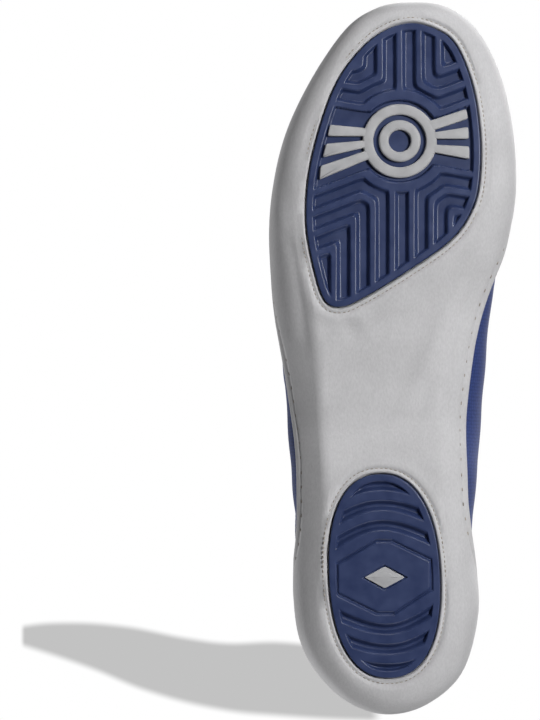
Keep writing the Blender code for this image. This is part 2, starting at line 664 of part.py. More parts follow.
def throat(rows):
    """Frames up the throat: middle, way across, way out and half width at each row."""
    shares = np.linspace(THROAT_SHARES[1], THROAT_SHARES[0], rows)
    medial, lateral = meridians(shares)[:, -1], meridians(1 - shares)[:, -1]
    middle = (medial + lateral) / 2
    across = medial - lateral
    half = np.linalg.norm(across, axis=1)[:, None] / 2
    across /= 2 * half
    along = np.gradient(middle, axis=0)
    along /= np.linalg.norm(along, axis=1)[:, None]
    out = np.cross(across, along)
    out /= np.linalg.norm(out, axis=1)[:, None]
    return middle, across, out, half, along


def crown(r, half):
    """Height of the throat's crown over its edges at distance r from the middle."""
    return np.sqrt(THROAT_RADIUS**2 - r**2) - np.sqrt(THROAT_RADIUS**2 - half**2)


def sheet_solid(name, centre, across, out, half, offsets, thick, spec, origin=(0, 0, 0)):
    """A closed sheet from rows of points across a set of frames."""
    r = np.linspace(-1, 1, 9)
    rows = len(centre)
    upper, lower = [], []
    for i in range(rows):
        for s in r:
            d = s * offsets[i]
            top = centre[i] + across[i] * d + out[i] * (crown(d, float(half[i, 0])) - TONGUE_DROP)
            upper.append(top)
            lower.append(top - out[i] * thick)
    n, columns = len(upper), len(r)
    points = np.array(upper + lower)
    faces = []
    for i in range(rows - 1):
        for j in range(columns - 1):
            a, b, c, d = (i * columns + j, (i + 1) * columns + j, (i + 1) * columns + j + 1,
                          i * columns + j + 1)
            faces += [(a, b, c, d), (a + n, d + n, c + n, b + n)]
    ring = [j for j in range(columns)] + [i * columns + columns - 1 for i in range(1, rows)]
    ring += [(rows - 1) * columns + j for j in range(columns - 2, -1, -1)]
    ring += [i * columns for i in range(rows - 2, 0, -1)]
    for k in range(len(ring)):
        a, b = ring[k], ring[(k + 1) % len(ring)]
        faces.append((a, b, b + n, a + n))
    return add(name, points, faces, spec, origin)


def columns(first, last, trim=0.0):
    """Shares of the outline from one column to another; the ends are trimmed where pieces meet."""
    shares = np.arange(first, last + 1) / COLUMNS
    shares[0] += trim
    shares[-1] -= trim
    return shares


def make_upper():
    trim = 0.0006
    side = columns(0, VAMP_COLUMN, trim)
    vamp = columns(VAMP_COLUMN, COLUMNS - VAMP_COLUMN, trim)
    toe, heel, collar, back = columns(35, 45), columns(-8, 8), columns(-16, 16), columns(-1, 1)
    stay = columns(*STAY_COLUMNS)
    quarters = [
        shell("quarter_medial", side, upper_rows(side), -SHELL, 0.0, BLUE_MESH),
        shell("quarter_lateral", 1 - side, upper_rows(1 - side), -SHELL, 0.0, BLUE_MESH),
    ]
    front = shell("vamp", vamp, upper_rows(vamp), -SHELL, 0.0, BLUE_MESH)
    shell("toe_puff", toe, band(toe, 26.0, 54.0, 4), COUNTER_IN, COUNTER_OUT, PLASTIC)
    shell("heel_counter", heel, band(heel, 27.0, 74.0, 4), COUNTER_IN, COUNTER_OUT, PLASTIC)
    shell("collar_padding", collar, band(collar, -62.0, -4.0, 3), PADDING_IN, PADDING_OUT, FOAM)
    shell("collar_lining", collar, band(collar, -66.0, -4.0, 3), LINING_IN, LINING_OUT, LINING)
    shell("backstay", back, band(back, 37.5, -26.0, 7), OVERLAY_IN + 0.4, OVERLAY_OUT + 0.4, GREY_LEATHER)
    stays = [
        shell(f"eyestay_{word}", shares, band(shares, -EYESTAY_WIDTH, 0, 3), OVERLAY_IN, OVERLAY_OUT,
              GREY_LEATHER)
        for word, shares in (("medial", stay), ("lateral", 1 - stay))
    ]
    return quarters, front, stays


def eyelet_frames(side):
    """Place and outward way of each eyelet of one side, from the toe up."""
    shares = np.linspace(EYELET_SHARES[1], EYELET_SHARES[0], EYELET_ROWS)
    shares = shares if side > 0 else 1 - shares
    places, ways = surface(shares, np.full((EYELET_ROWS, 1), -EYELET_INSET), 0.0)
    ways = ways[:, 0]
    return places[:, 0], ways


def cylinder(name, place, way, radius, low, high, spec):
    """A round bar along a way through a place, used as a cutter."""
    x, y = basis(way)
    turns = np.linspace(0, 2 * math.pi, 10, endpoint=False)
    ring = [x * math.cos(a) * radius + y * math.sin(a) * radius for a in turns]
    points = [place + way * low + r for r in ring] + [place + way * high + r for r in ring]
    n = len(ring)
    faces = [tuple(reversed(range(n))), tuple(range(n, 2 * n))]
    faces += [(i, (i + 1) % n, (i + 1) % n + n, i + n) for i in range(n)]
    return add(name, points, faces, spec)


def basis(way):
    x = np.cross(way, (0.0, 0.0, 1.0) if abs(way[2]) < 0.9 else (0.0, 1.0, 0.0))
    x /= np.linalg.norm(x)
    return x, np.cross(way, x)


def make_eyelet(name, place, way):
    """A rolled metal eyelet: barrel through the layers, flange on the outside."""
    x, y = basis(way)
    profile = [(EYELET_BORE, -SHELL - 0.3), (EYELET_BARREL, -SHELL - 0.3),
               (EYELET_BARREL, OVERLAY_OUT + 1.1), (EYELET_FLANGE, OVERLAY_OUT + 1.1),
               (EYELET_FLANGE - 0.4, OVERLAY_OUT + 1.6), (EYELET_BORE, OVERLAY_OUT + 1.6)]
    turns = np.linspace(0, 2 * math.pi, 10, endpoint=False)
    points = [place + way * h + (x * math.cos(a) + y * math.sin(a)) * r for a in turns for r, h in profile]
    m, n = len(profile), len(turns)
    faces = []
    for i in range(n):
        for j in range(m):
            a, b = i * m + j, i * m + (j + 1) % m
            c, d = ((i + 1) % n) * m + (j + 1) % m, ((i + 1) % n) * m + j
            faces.append((a, b, c, d))
    add(name, points, faces, METAL)


def make_eyelets(quarters, front, stays):
    for side, quarter, stay, word in zip((1, -1), quarters, stays, ("medial", "lateral")):
        places, ways = eyelet_frames(side)
        for row in range(EYELET_ROWS):
            tool = cylinder(f"eyelet_hole_tool_{word}_{row + 1}", places[row], ways[row],
                            EYELET_BARREL + GAP, -6.0, 6.0, METAL)
            for target in (quarter, front, stay):
                if target is not front or row < 2:
                    combine(target, tool, "DIFFERENCE")
            make_eyelet(f"eyelet_{word}_{row + 1}", places[row], ways[row])


def throat_at(share):
    """Frame of the throat at one share: middle, way across, way out, way along and half width."""
    steps = np.array([share + 0.004, share, share - 0.004])
    medial, lateral = meridians(steps)[:, -1], meridians(1 - steps)[:, -1]
    middle = (medial + lateral) / 2
    across = medial[1] - lateral[1]
    half = np.linalg.norm(across) / 2
    across /= 2 * half
    along = middle[2] - middle[0]
    along /= np.linalg.norm(along)
    out = np.cross(across, along)
    return middle[1], across, out / np.linalg.norm(out), along, half


def make_tongue():
    """The tongue behind the throat and its free top, which folds forward about the tongue's upper edge."""
    middle, across, out, half, along = throat(14)
    wide = half[:, 0] + 3.4
    start = middle[0] - along[0] * 10.0 - out[0] * 1.5
    centre = np.vstack([start[None], middle])
    rows = [np.vstack([v[:1], v]) for v in (across, out, half)]
    sheet_solid("tongue", centre, *rows, np.concatenate([wide[:1] - 4, wide]), TONGUE_THICK, LINING)
    steps = np.array([FOLD_GAP, 6.0, 14.0, 24.0, 32.0, FLAP_LENGTH - 2, FLAP_LENGTH])
    share = steps / FLAP_LENGTH
    last = [np.repeat(v[-1:], len(steps), axis=0) for v in (across, out, half)]
    centre = middle[-1] + along[-1] * steps[:, None]
    widths = FLAP_NECK + (FLAP_HALF - FLAP_NECK) * smooth_step(share * 2) - 5 * smooth_step(share * 4 - 3)
    axis = middle[-1] + out[-1] * (crown(0, half[-1, 0]) - TONGUE_DROP)
    sheet_solid("tongue_flap", centre, *last, widths, TONGUE_THICK, LINING, tuple(axis))


def lace_strand(side):
    """Points of one half of the lace from the bottom row up, ending under the keeper."""
    frames = {s: eyelet_frames(s) for s in (1, -1)}
    shares = np.linspace(EYELET_SHARES[1], EYELET_SHARES[0], EYELET_ROWS)
    points = []
    for row in range(EYELET_ROWS):
        here = side if row % 2 == 0 else -side
        place, way = frames[here][0][row], frames[here][1][row]
        middle, across, out, along, half = throat_at(shares[row])
        edge = middle + across * here * (half - 1.5) + out * (LACE_UNDER - 0.6)
        if row == 0:
            points.append(middle + out * (crown(0, half) + LACE_UNDER - 0.4))
        points += [edge, place + way * LACE_UNDER, place + way * LACE_OVER]
        if row < EYELET_ROWS - 1:
            middle, across, out, along, half = throat_at((shares[row] + shares[row + 1]) / 2)
            height = 1.4 if (here > 0) == (row % 2 == 0) else LACE_CROSS
            crossing = middle + out * (crown(0, half) + height)
        else:
            middle, across, out, along, half = throat_at(KEEPER_SHARE)
            crossing = middle + across * here * (AGLET_LENGTH + 2.8) + out * crown(0, half)
        toward = crossing - points[-1]
        toward -= way * toward.dot(way)
        points += [points[-1] + toward / np.linalg.norm(toward) * 5.4, crossing]
    points.append(crossing - across * here * 1.5)
    return points, -across * here


def make_lace():
    first, first_way = lace_strand(1)
    second, second_way = lace_strand(-1)
    tube("lace", second[::-1] + first[1:], LACE_RADIUS, LACE)
    for number, end, way in ((1, first[-1], first_way), (2, second[-1], second_way)):
        cylinder(f"aglet_{number}", end, way, AGLET_RADIUS, GAP, GAP + AGLET_LENGTH, PLASTIC)
    middle, across, out, along, half = throat_at(KEEPER_SHARE)
    base = middle + out * crown(0, half)
    foot = -TONGUE_DROP + GAP
    profile = [(-KEEPER_HALF, foot), (-KEEPER_HALF, 2.6), (KEEPER_HALF, 2.6), (KEEPER_HALF, foot),
               (KEEPER_HALF - 1.2, foot), (KEEPER_HALF - 1.2, 1.5), (1.2 - KEEPER_HALF, 1.5),
               (1.2 - KEEPER_HALF, foot)]
    ends = (-KEEPER_REACH, KEEPER_REACH)
    points = [base + across * r + along * a + out * h for r in ends for a, h in profile]
    faces = [(i, (i + 1) % 8, (i + 1) % 8 + 8, i + 8) for i in range(8)]
    faces += [(7, 6, 1, 0), (6, 5, 2, 1), (5, 4, 3, 2), (8, 9, 14, 15), (9, 10, 13, 14), (10, 11, 12, 13)]
    add("lace_keeper", points, faces, BLUE_LEATHER)


def make_pull_tab():
    """A webbing tab at the back of the collar, stitched along its foot."""
    shares = np.array([-TAB_SHARE, 0.0, TAB_SHARE])
    heights = np.repeat(np.array([[-TAB_FOOT, -16.0, -8.0, -0.5]]), 3, axis=0)
    layers = []
    for offset in (TAB_OUT, TAB_IN):
        grid, _ = surface(shares, heights, offset)
        rise = grid[:, -1] - grid[:, -2]
        rise *= TAB_RISE / np.linalg.norm(rise, axis=1)[:, None]
        layers.append(np.concatenate([grid, (grid[:, -1] + rise)[:, None]], axis=1).reshape(-1, 3))
    n, columns_count = 15, 5
    faces = []
    for i in range(2):
        for j in range(columns_count - 1):
            a, b, c, d = (i * columns_count + j, (i + 1) * columns_count + j,
                          (i + 1) * columns_count + j + 1, i * columns_count + j + 1)
            faces += [(a, b, c, d), (a + n, d + n, c + n, b + n)]
    ring = [0, 1, 2, 3, 4, 9, 14, 13, 12, 11, 10, 5]
    faces += [(ring[k], ring[(k + 1) % 12], ring[(k + 1) % 12] + n, ring[k] + n) for k in range(12)]
    axis = (layers[0][5] + layers[1][5]) / 2
    add("pull_tab", np.concatenate(layers), faces, BLUE_LEATHER, tuple(axis))


def build():
    for old in list(bpy.data.objects):
        bpy.data.objects.remove(old, do_unlink=True)
    make_wrap()
    make_forefoot_pod()
    make_heel_pod()
    make_pivot()
    make_inside_of_sole()
    quarters, front, stays = make_upper()
    make_eyelets(quarters, front, stays)
    make_tongue()
    make_lace()
    make_pull_tab()


build()
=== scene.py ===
"""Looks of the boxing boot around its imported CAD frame, seen from straight below as it stands on its tread.

Lengths inside the form functions are in millimetres, as in the part's own source.
"""

import math

import bmesh
import bpy
import numpy as np
from mathutils import Matrix, Vector
from mathutils.geometry import delaunay_2d_cdt


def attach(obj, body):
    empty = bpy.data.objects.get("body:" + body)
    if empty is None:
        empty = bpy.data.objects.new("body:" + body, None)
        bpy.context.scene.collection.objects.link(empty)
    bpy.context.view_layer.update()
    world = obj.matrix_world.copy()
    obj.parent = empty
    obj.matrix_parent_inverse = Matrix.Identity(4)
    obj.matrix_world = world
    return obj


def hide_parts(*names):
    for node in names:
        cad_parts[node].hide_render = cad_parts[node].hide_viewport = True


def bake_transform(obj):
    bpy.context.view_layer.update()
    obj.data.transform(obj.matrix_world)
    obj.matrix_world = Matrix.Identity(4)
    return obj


MM = 0.001
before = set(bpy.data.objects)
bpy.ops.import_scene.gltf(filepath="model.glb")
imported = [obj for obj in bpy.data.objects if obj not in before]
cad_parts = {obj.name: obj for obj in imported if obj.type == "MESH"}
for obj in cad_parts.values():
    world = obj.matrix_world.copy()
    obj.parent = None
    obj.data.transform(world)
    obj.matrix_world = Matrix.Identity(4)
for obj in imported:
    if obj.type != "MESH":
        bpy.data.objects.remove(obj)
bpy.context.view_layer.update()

# ---------------------------------------------------------------- form, as in the part's source

SUEDE_LEVEL, SUEDE_THICK = 1.2, 1.5
WRAP_IN, WRAP_OUT = 0.5, 2.2
BODY_LEVEL = SUEDE_LEVEL + WRAP_OUT
ARCH_RISE = 5.8
TOE_CREASE_Y, TOE_SLOPE = -85.0, math.tan(math.radians(4.5))
GROOVE_DEPTH = 2.3
PERIMETER = 760.0  # of the outline, to turn millimetres round it into shares

OUTLINE = [
    (-3.0, 141.8), (12.6, 138.1), (26.6, 125.4), (32.8, 103.0), (32.0, 80.0), (33.4, 61.0),
    (36.0, 37.0), (38.2, 13.0), (39.6, -8.0), (41.4, -27.0), (44.6, -46.0), (47.7, -68.0),
    (46.2, -93.0), (41.2, -114.5), (32.6, -131.0), (21.0, -139.8), (7.6, -141.4), (-5.3, -139.4),
    (-18.2, -130.4), (-33.3, -106.7), (-42.8, -84.0), (-47.3, -57.0), (-46.6, -30.0), (-44.3, -8.0),
    (-42.8, 15.0), (-40.2, 50.0), (-37.8, 75.0), (-37.7, 97.0), (-35.4, 113.0), (-29.2, 125.3),
    (-17.8, 136.6),
]
FOREFOOT_POD = [
    (6.2, -133.9), (17.3, -131.2), (25.2, -124.4), (31.6, -107.8), (34.3, -89.0), (34.1, -71.6),
    (31.2, -59.5), (23.1, -47.5), (6.6, -35.4), (-13.5, -23.3), (-21.9, -20.3), (-27.6, -23.3),
    (-31.7, -35.4), (-34.8, -53.0), (-34.0, -71.6), (-30.0, -89.7), (-23.6, -107.8), (-15.9, -119.9),
    (-5.6, -129.6),
]
HEEL_POD_CENTRE, HEEL_POD_HALF, HEEL_POD_POWER = (-3.7, 86.9), (22.1, 40.6), 2.3

UNDERCUT_MEDIAL = [(-142, 5), (-126, 6.5), (-110, 8.6), (-90, 10), (-60, 12.4), (-10, 20), (20, 21),
                   (50, 16.5), (85, 11.5), (142, 9)]
UNDERCUT_LATERAL = [(-142, 5), (-126, 6), (-110, 7.1), (-90, 8.5), (-70, 10.2), (-50, 11.3), (0, 14),
                    (50, 13.5), (85, 10.8), (142, 9)]
SLOPE_LATERAL = [(-142, 0), (-60, 0.15), (-15, 0.75), (60, 0.8), (100, 0.5), (142, 0)]
SLOPE_MEDIAL = [(-142, 0), (-40, 0), (0, 0.25), (60, 0.2), (100, 0), (142, 0)]
RISE_MEDIAL = [(-142, 12), (-60, 14), (-10, 22), (20, 24), (50, 21), (85, 16), (142, 15)]
RISE_LATERAL = [(-142, 12), (-60, 14), (0, 18), (50, 18), (85, 16), (142, 15)]
WRAP_MEDIAL = [(-142, 25), (-100, 26), (-60, 25), (-31, 18), (-10, 15.5), (13, 14.6), (49, 12.5),
               (61, 13), (73, 15.5), (92, 24), (120, 32), (142, 34)]
WRAP_LATERAL = [(-142, 25), (-100, 26), (-50, 26), (-20, 24), (10, 18.5), (50, 15.2), (75, 18.5), (95, 27),
                (120, 32), (142, 34)]
TOP_LINE = [
    (0.0, 0.0, 126.0, 170.0), (0.045, 15.0, 121.5, 167.0), (0.09, 28.5, 106.0, 159.0),
    (0.14, 35.0, 80.0, 153.0), (0.185, 32.0, 54.0, 157.0), (0.225, 23.5, 37.0, 166.0),
    (0.262, 20.0, 31.0, 141.0), (0.3, 17.5, 26.0, 116.0), (0.335, 16.0, 8.0, 97.0),
    (0.365, 15.0, -12.0, 85.0), (0.395, 14.0, -31.0, 76.5), (0.425, 12.0, -47.0, 69.5),
    (0.46, 7.5, -57.0, 66.0), (0.5, 0.0, -61.0, 64.5),
]
TOP_WAY = [
    (0.0, 0.0, 0.25, 0.97), (0.09, 0.04, 0.08, 1.0), (0.14, 0.03, 0.0, 1.0), (0.185, -0.03, -0.03, 1.0),
    (0.225, -0.25, -0.12, 0.96), (0.262, -0.6, -0.22, 0.76), (0.3, -0.75, -0.12, 0.65),
    (0.335, -0.86, 0.0, 0.5), (0.38, -0.9, 0.18, 0.4), (0.42, -0.8, 0.45, 0.38), (0.46, -0.45, 0.82, 0.33),
    (0.5, 0.0, 0.95, 0.28),
]
HANDLES = [(0.0, 0.3, 0.35), (0.14, 0.32, 0.3), (0.3, 0.38, 0.3), (0.4, 0.34, 0.36), (0.5, 0.28, 0.45)]
VAMP_SHARE = 31 / 80
THROAT_SHARES = (0.2375, 0.4375)
EYESTAY_WIDTH = 17.0
EYELET_ROWS, EYELET_SHARES, EYELET_INSET = 7, (0.262, 0.425), 7.0
TONGUE_DROP, THROAT_RADIUS = 6.2, 38.0
KEEPER_SHARE = 0.25


def unit(vectors):
    """Vectors scaled to length 1, row by row."""
    return vectors / np.linalg.norm(vectors, axis=-1, keepdims=True)


def run_along(line):
    """How far each point of a line is from its first one, along the line."""
    return np.concatenate([[0], np.cumsum(np.linalg.norm(np.diff(line, axis=0), axis=1))])


def points_at(line, run, where):
    """Points of a line at these distances along it."""
    return np.column_stack([np.interp(where, run, column) for column in line.T])


def spline(keys, x, period=None):
    """Smooth curve through keys (x, value, ...) at x; with a period it closes on itself."""
    keys = np.array(keys, float)
    knots, values = keys[:, 0], keys[:, 1:]
    x = np.asarray(x, float)
    if period:
        knots = np.concatenate([knots[-2:] - period, knots, knots[:2] + period])
        values = np.concatenate([values[-2:], values, values[:2]])
        x = x % period
    slopes = np.gradient(values, knots, axis=0)
    i = np.clip(np.searchsorted(knots, x, side="right") - 1, 0, len(knots) - 2)
    step = knots[i + 1] - knots[i]
    t = np.clip((x - knots[i]) / step, 0, 1)[..., None]
    step = step[..., None]
    return (
        values[i] * (2 * t**3 - 3 * t**2 + 1) + slopes[i] * step * (t**3 - 2 * t**2 + t)
        + values[i + 1] * (3 * t**2 - 2 * t**3) + slopes[i + 1] * step * (t**3 - t**2)
    )


def closed_curve(points, shares):
    """Points at these shares of the length of the smooth closed curve through the points."""
    points = np.array(points, float)
    count = len(points)
    keys = np.column_stack([np.arange(count), points])
    fine = spline(keys, np.linspace(0, count, count * 24, endpoint=False), period=count)
    loop = np.vstack([fine, fine[:1]])
    run = run_along(loop)
    return points_at(loop, run, (np.asarray(shares, float) % 1.0) * run[-1])


def smooth_step(x):
    x = np.clip(x, 0, 1)
    return x * x * (3 - 2 * x)


def bell(x, middle, width):
    return np.exp(-(((x - middle) / width) ** 2))


def arc(distance, radius):
    """A quarter circle's rise from 0 at distance 0 to 1 at the radius, for rounded edges."""
    return np.sqrt(np.clip(1 - (1 - np.clip(distance / radius, 0, 1)) ** 2, 0, 1))


def lift(x, y):
    """How far the sole stands off the floor: the arch of the waist and the spring of the toe."""
    across = 0.6 * x + 0.8 * y
    arch = ARCH_RISE * smooth_step((across + 27) / 25) * smooth_step((46 - y) / 24)
    return arch + np.maximum(0, TOE_CREASE_Y - y) * TOE_SLOPE


def centre_x(y):
    return -3.0 + 4.5 * smooth_step((30 - y) / 90)


def both_sides(keys, shares):
    mirrored = [(1 - k[0], -k[1], *k[2:]) for k in keys[1:-1]]
    return spline(sorted([*keys, *mirrored]), shares, period=1.0)


def by_side(medial, lateral, shares, y):
    low, high = spline(medial, y)[:, 0], spline(lateral, y)[:, 0]
    return np.where((np.asarray(shares) % 1.0) < 0.5, low, high)


def meridians(shares, samples=150):
    """For each share of the outline, the line from under the sole up to the top line."""
    shares = np.asarray(shares, float)
    edge = closed_curve(OUTLINE, shares)
    along = unit(closed_curve(OUTLINE, shares + 0.002) - closed_curve(OUTLINE, shares - 0.002))
    outward = np.column_stack([-along[:, 1], along[:, 0]])
    outward *= np.sign(np.sum(outward * edge, axis=1).sum())
    undercut = by_side(UNDERCUT_MEDIAL, UNDERCUT_LATERAL, shares, edge[:, 1])
    rise = by_side(RISE_MEDIAL, RISE_LATERAL, shares, edge[:, 1])
    foot = edge - outward * undercut[:, None]
    base = BODY_LEVEL + lift(foot[:, 0], foot[:, 1])
    straight = by_side(SLOPE_MEDIAL, SLOPE_LATERAL, shares, edge[:, 1])[:, None]
    t = np.linspace(0, 1, samples // 3)[None]
    phi = t * math.pi / 2
    inward = (1 - straight) * (1 - np.sin(phi)) + straight * (1 - t) ** 1.4
    upward = (1 - straight) * (1 - np.cos(phi)) + straight * t
    under_xy = edge[:, None] - (outward * undercut[:, None])[:, None] * inward[..., None]
    under_z = base[:, None] + rise[:, None] * upward
    under = np.dstack([under_xy, under_z])
    top = both_sides(TOP_LINE, shares)
    top[:, 0] += centre_x(top[:, 1])
    way = unit(both_sides(TOP_WAY, shares))
    mirrored_handles = sorted(HANDLES + [(1 - k[0], *k[1:]) for k in HANDLES[1:-1]])
    handles = spline(mirrored_handles, shares, period=1.0)
    p0 = under[:, -1]
    reach = np.linalg.norm(top - p0, axis=1)[:, None]
    p1 = p0 + np.array([0, 0, 1.0]) * handles[:, :1] * reach
    p2 = top - way * handles[:, 1:] * reach
    t = np.linspace(0, 1, samples - samples // 3)[1:, None, None]
    side = (1 - t) ** 3 * p0 + 3 * (1 - t) ** 2 * t * p1 + 3 * (1 - t) * t**2 * p2 + t**3 * top
    return np.concatenate([under, side.transpose(1, 0, 2)], axis=1)


def lengths_of(lines):
    steps = np.linalg.norm(np.diff(lines, axis=1), axis=2)
    return np.concatenate([np.zeros((len(lines), 1)), np.cumsum(steps, axis=1)], axis=1)


def surface(shares, heights):
    """Points and outward normals of the upper at heights, in millimetres up each meridian."""
    shares = np.asarray(shares, float)
    delta = 0.0015
    grids = []
    for shift in (0, delta, -delta):
        lines = meridians(shares + shift)
        along = lengths_of(lines)
        wanted = heights[..., None] + np.array([0, 0.4, -0.4])
        wanted = np.clip(wanted, 0, along[:, -1:, None])
        grids.append(np.stack([
            np.stack([np.interp(wanted[i].ravel(), along[i], lines[i, :, k]) for k in range(3)], axis=1)
            .reshape(*wanted.shape[1:], 3)
            for i in range(len(shares))
        ]))
    normal = np.cross(grids[0][:, :, 1] - grids[0][:, :, 2], grids[1][:, :, 0] - grids[2][:, :, 0])
    return grids[0][:, :, 0], unit(normal)


def total_lengths(shares):
    return lengths_of(meridians(shares))[:, -1]


def pod_loop(count):
    return closed_curve(FOREFOOT_POD, np.arange(count) / count)


def heel_loop(count):
    turns = np.linspace(0, 2 * math.pi, 200, endpoint=False)
    c, s = np.cos(turns), np.sin(turns)
    power = 2 / HEEL_POD_POWER
    x = HEEL_POD_HALF[0] * np.sign(c) * np.abs(c) ** power
    y = HEEL_POD_HALF[1] * np.sign(s) * np.abs(s) ** power
    return closed_curve(np.column_stack([HEEL_POD_CENTRE[0] + x + 0.04 * y, HEEL_POD_CENTRE[1] + y]),
                        np.arange(count) / count)


def outward_of(loop):
    span = np.roll(loop, -1, axis=0) - np.roll(loop, 1, axis=0)
    outward = unit(np.column_stack([span[:, 1], -span[:, 0]]))
    x, y = loop[:, 0], loop[:, 1]
    return outward * np.sign(np.sum(x * np.roll(y, -1) - np.roll(x, -1) * y))


def inside_loop(loop, points):
    a, b = loop, np.roll(loop, -1, axis=0)
    result = np.zeros(len(points), bool)
    for p, q in zip(a, b):
        over = (p[1] > points[:, 1]) != (q[1] > points[:, 1])
        if over.any():
            cross = p[0] + (points[:, 1] - p[1]) / (q[1] - p[1] if q[1] != p[1] else 1) * (q[0] - p[0])
            result ^= over & (cross > points[:, 0])
    return result


def distance_to(path, points, closed=False):
    """How far points are from a chain of straight lines."""
    a, b = path, np.roll(path, -1, axis=0)
    if not closed:
        a, b = a[:-1], b[:-1]
    best = np.full(len(points), 1e9)
    for p, q in zip(a, b):
        span = q - p
        t = np.clip(((points - p) @ span) / max(float(span @ span), 1e-9), 0, 1)
        best = np.minimum(best, np.linalg.norm(points - p - t[:, None] * span, axis=1))
    return best


# ---------------------------------------------------------------- materials

def put(tree, socket, value):
    """Gives a socket a plain value, or links it to the socket it is given."""
    if isinstance(value, bpy.types.NodeSocket):
        tree.links.new(value, socket)
    else:
        socket.default_value = value


def node(tree, kind, **inputs):
    """A new shader node; from_min stands for its input From Min, and so on."""
    made = tree.nodes.new(f"ShaderNode{kind}")
    for name, value in inputs.items():
        put(tree, made.inputs[name.replace("_", " ").title()], value)
    return made


def look(name, colour, roughness, metallic=0.0, sheen=0.0, specular=0.5):
    """A new material with its shader's even values, and its node tree."""
    made = bpy.data.materials.new(name)
    made.use_nodes = True
    shader = made.node_tree.nodes["Principled BSDF"]
    for socket, value in (("Base Color", (*colour, 1)), ("Roughness", roughness), ("Metallic", metallic),
                          ("Specular IOR Level", specular), ("Sheen Weight", sheen)):
        shader.inputs[socket].default_value = value
    return made, made.node_tree


def noise(tree, scale, detail=3.0, stretch=(1, 1, 1)):
    place = node(tree, "TexCoord").outputs["Object"]
    place = node(tree, "Mapping", vector=place, scale=stretch).outputs["Vector"]
    return node(tree, "TexNoise", vector=place, scale=scale, detail=detail).outputs["Fac"]


def ramp(tree, source, low, high, dark, light):
    made = node(tree, "ValToRGB", fac=source)
    for element, place, colour in zip(made.color_ramp.elements, (low, high), (dark, light)):
        element.position = place
        element.color = (*colour, 1)
    return made.outputs["Color"]


def multiply(tree, a, b):
    made = node(tree, "Mix", factor=1.0)
    made.data_type, made.blend_type = "RGBA", "MULTIPLY"
    put(tree, made.inputs[6], a)
    put(tree, made.inputs[7], b)
    return made.outputs[2]


def paint(tree, colour, bumps):
    """Links a colour and a stack of (height, strength, distance) bumps to the shader."""
    shader, normal = tree.nodes["Principled BSDF"], None
    put(tree, shader.inputs["Base Color"], colour)
    for height, strength, distance in bumps:
        made = node(tree, "Bump", height=height, strength=strength, distance=distance)
        if normal:
            put(tree, made.inputs["Normal"], normal)
        normal = made.outputs["Normal"]
    put(tree, shader.inputs["Normal"], normal)


def suede_material():
    made, tree = look("suede_look", (0.55, 0.54, 0.56), 0.95, sheen=0.25, specular=0.15)
    nap = noise(tree, 1500.0, 4.0, (1.0, 0.45, 1.0))
    creases = noise(tree, 38.0, 3.0, (1.0, 0.35, 1.0))
    fine = ramp(tree, nap, 0.3, 0.7, (0.525, 0.52, 0.53), (0.595, 0.59, 0.6))
    broad = ramp(tree, noise(tree, 55.0, 5.0), 0.3, 0.7, (0.9, 0.9, 0.9), (1.0, 1.0, 1.0))
    paint(tree, multiply(tree, fine, broad), [(nap, 0.35, 0.0002), (creases, 0.5, 0.0012)])
    return made


def rubber_material(name, dark, light, roughness):
    made, tree = look(name, dark, roughness, specular=0.4)
    mottle = noise(tree, 160.0, 5.0)
    rough = node(tree, "MapRange", value=mottle, to_min=roughness - 0.08, to_max=roughness + 0.12)
    put(tree, tree.nodes["Principled BSDF"].inputs["Roughness"], rough.outputs["Result"])
    paint(tree, ramp(tree, mottle, 0.3, 0.72, dark, light), [(noise(tree, 2500.0, 2.0), 0.15, 0.00006)])
    return made


def mesh_material(name, dark, light, scale):
    """A knitted cloth, laid out in the metres round and up the piece: open cells between raised yarns."""
    made, tree = look(name, dark, 0.85, sheen=0.15, specular=0.2)
    laid = node(tree, "UVMap")
    laid.uv_map = "cloth"
    cells = node(tree, "TexVoronoi", vector=laid.outputs["UV"], scale=scale, randomness=0.3)
    cells.voronoi_dimensions = "2D"
    cell = cells.outputs["Distance"]
    tone = ramp(tree, noise(tree, 30.0, 3.0), 0.3, 0.7, (0.86, 0.86, 0.88), (1.0, 1.0, 1.0))
    paint(tree, multiply(tree, ramp(tree, cell, 0.1, 0.75, light, dark), tone),
          [(cell, -0.5, 0.0003), (noise(tree, 700.0, 4.0), 0.25, 0.0003)])
    return made


def cloth_material(name, dark, light):
    """A brushed lining cloth."""
    made, tree = look(name, dark, 0.9, sheen=0.2, specular=0.15)
    patches = noise(tree, 90.0, 3.0)
    paint(tree, ramp(tree, patches, 0.3, 0.7, dark, light),
          [(noise(tree, 1100.0, 4.0), 0.4, 0.0003), (patches, 0.2, 0.0008)])
    return made


def leather_material(name, dark, light, roughness=0.6):
    made, tree = look(name, dark, roughness, specular=0.35)
    pebble = node(tree, "TexVoronoi", vector=node(tree, "TexCoord").outputs["Object"], scale=900.0)
    pebble.feature = "DISTANCE_TO_EDGE"
    tone = noise(tree, 120.0, 4.0)
    paint(tree, ramp(tree, tone, 0.3, 0.7, dark, light),
          [(pebble.outputs["Distance"], 0.25, 0.00015), (tone, 0.2, 0.0006)])
    return made


def plain_material(name, dark, light, roughness, metallic=0.0, scale=400.0):
    made, tree = look(name, dark, roughness, metallic)
    tone = noise(tree, scale, 3.0)
    paint(tree, ramp(tree, tone, 0.3, 0.7, dark, light), [(tone, 0.15, 0.0001)])
    return made


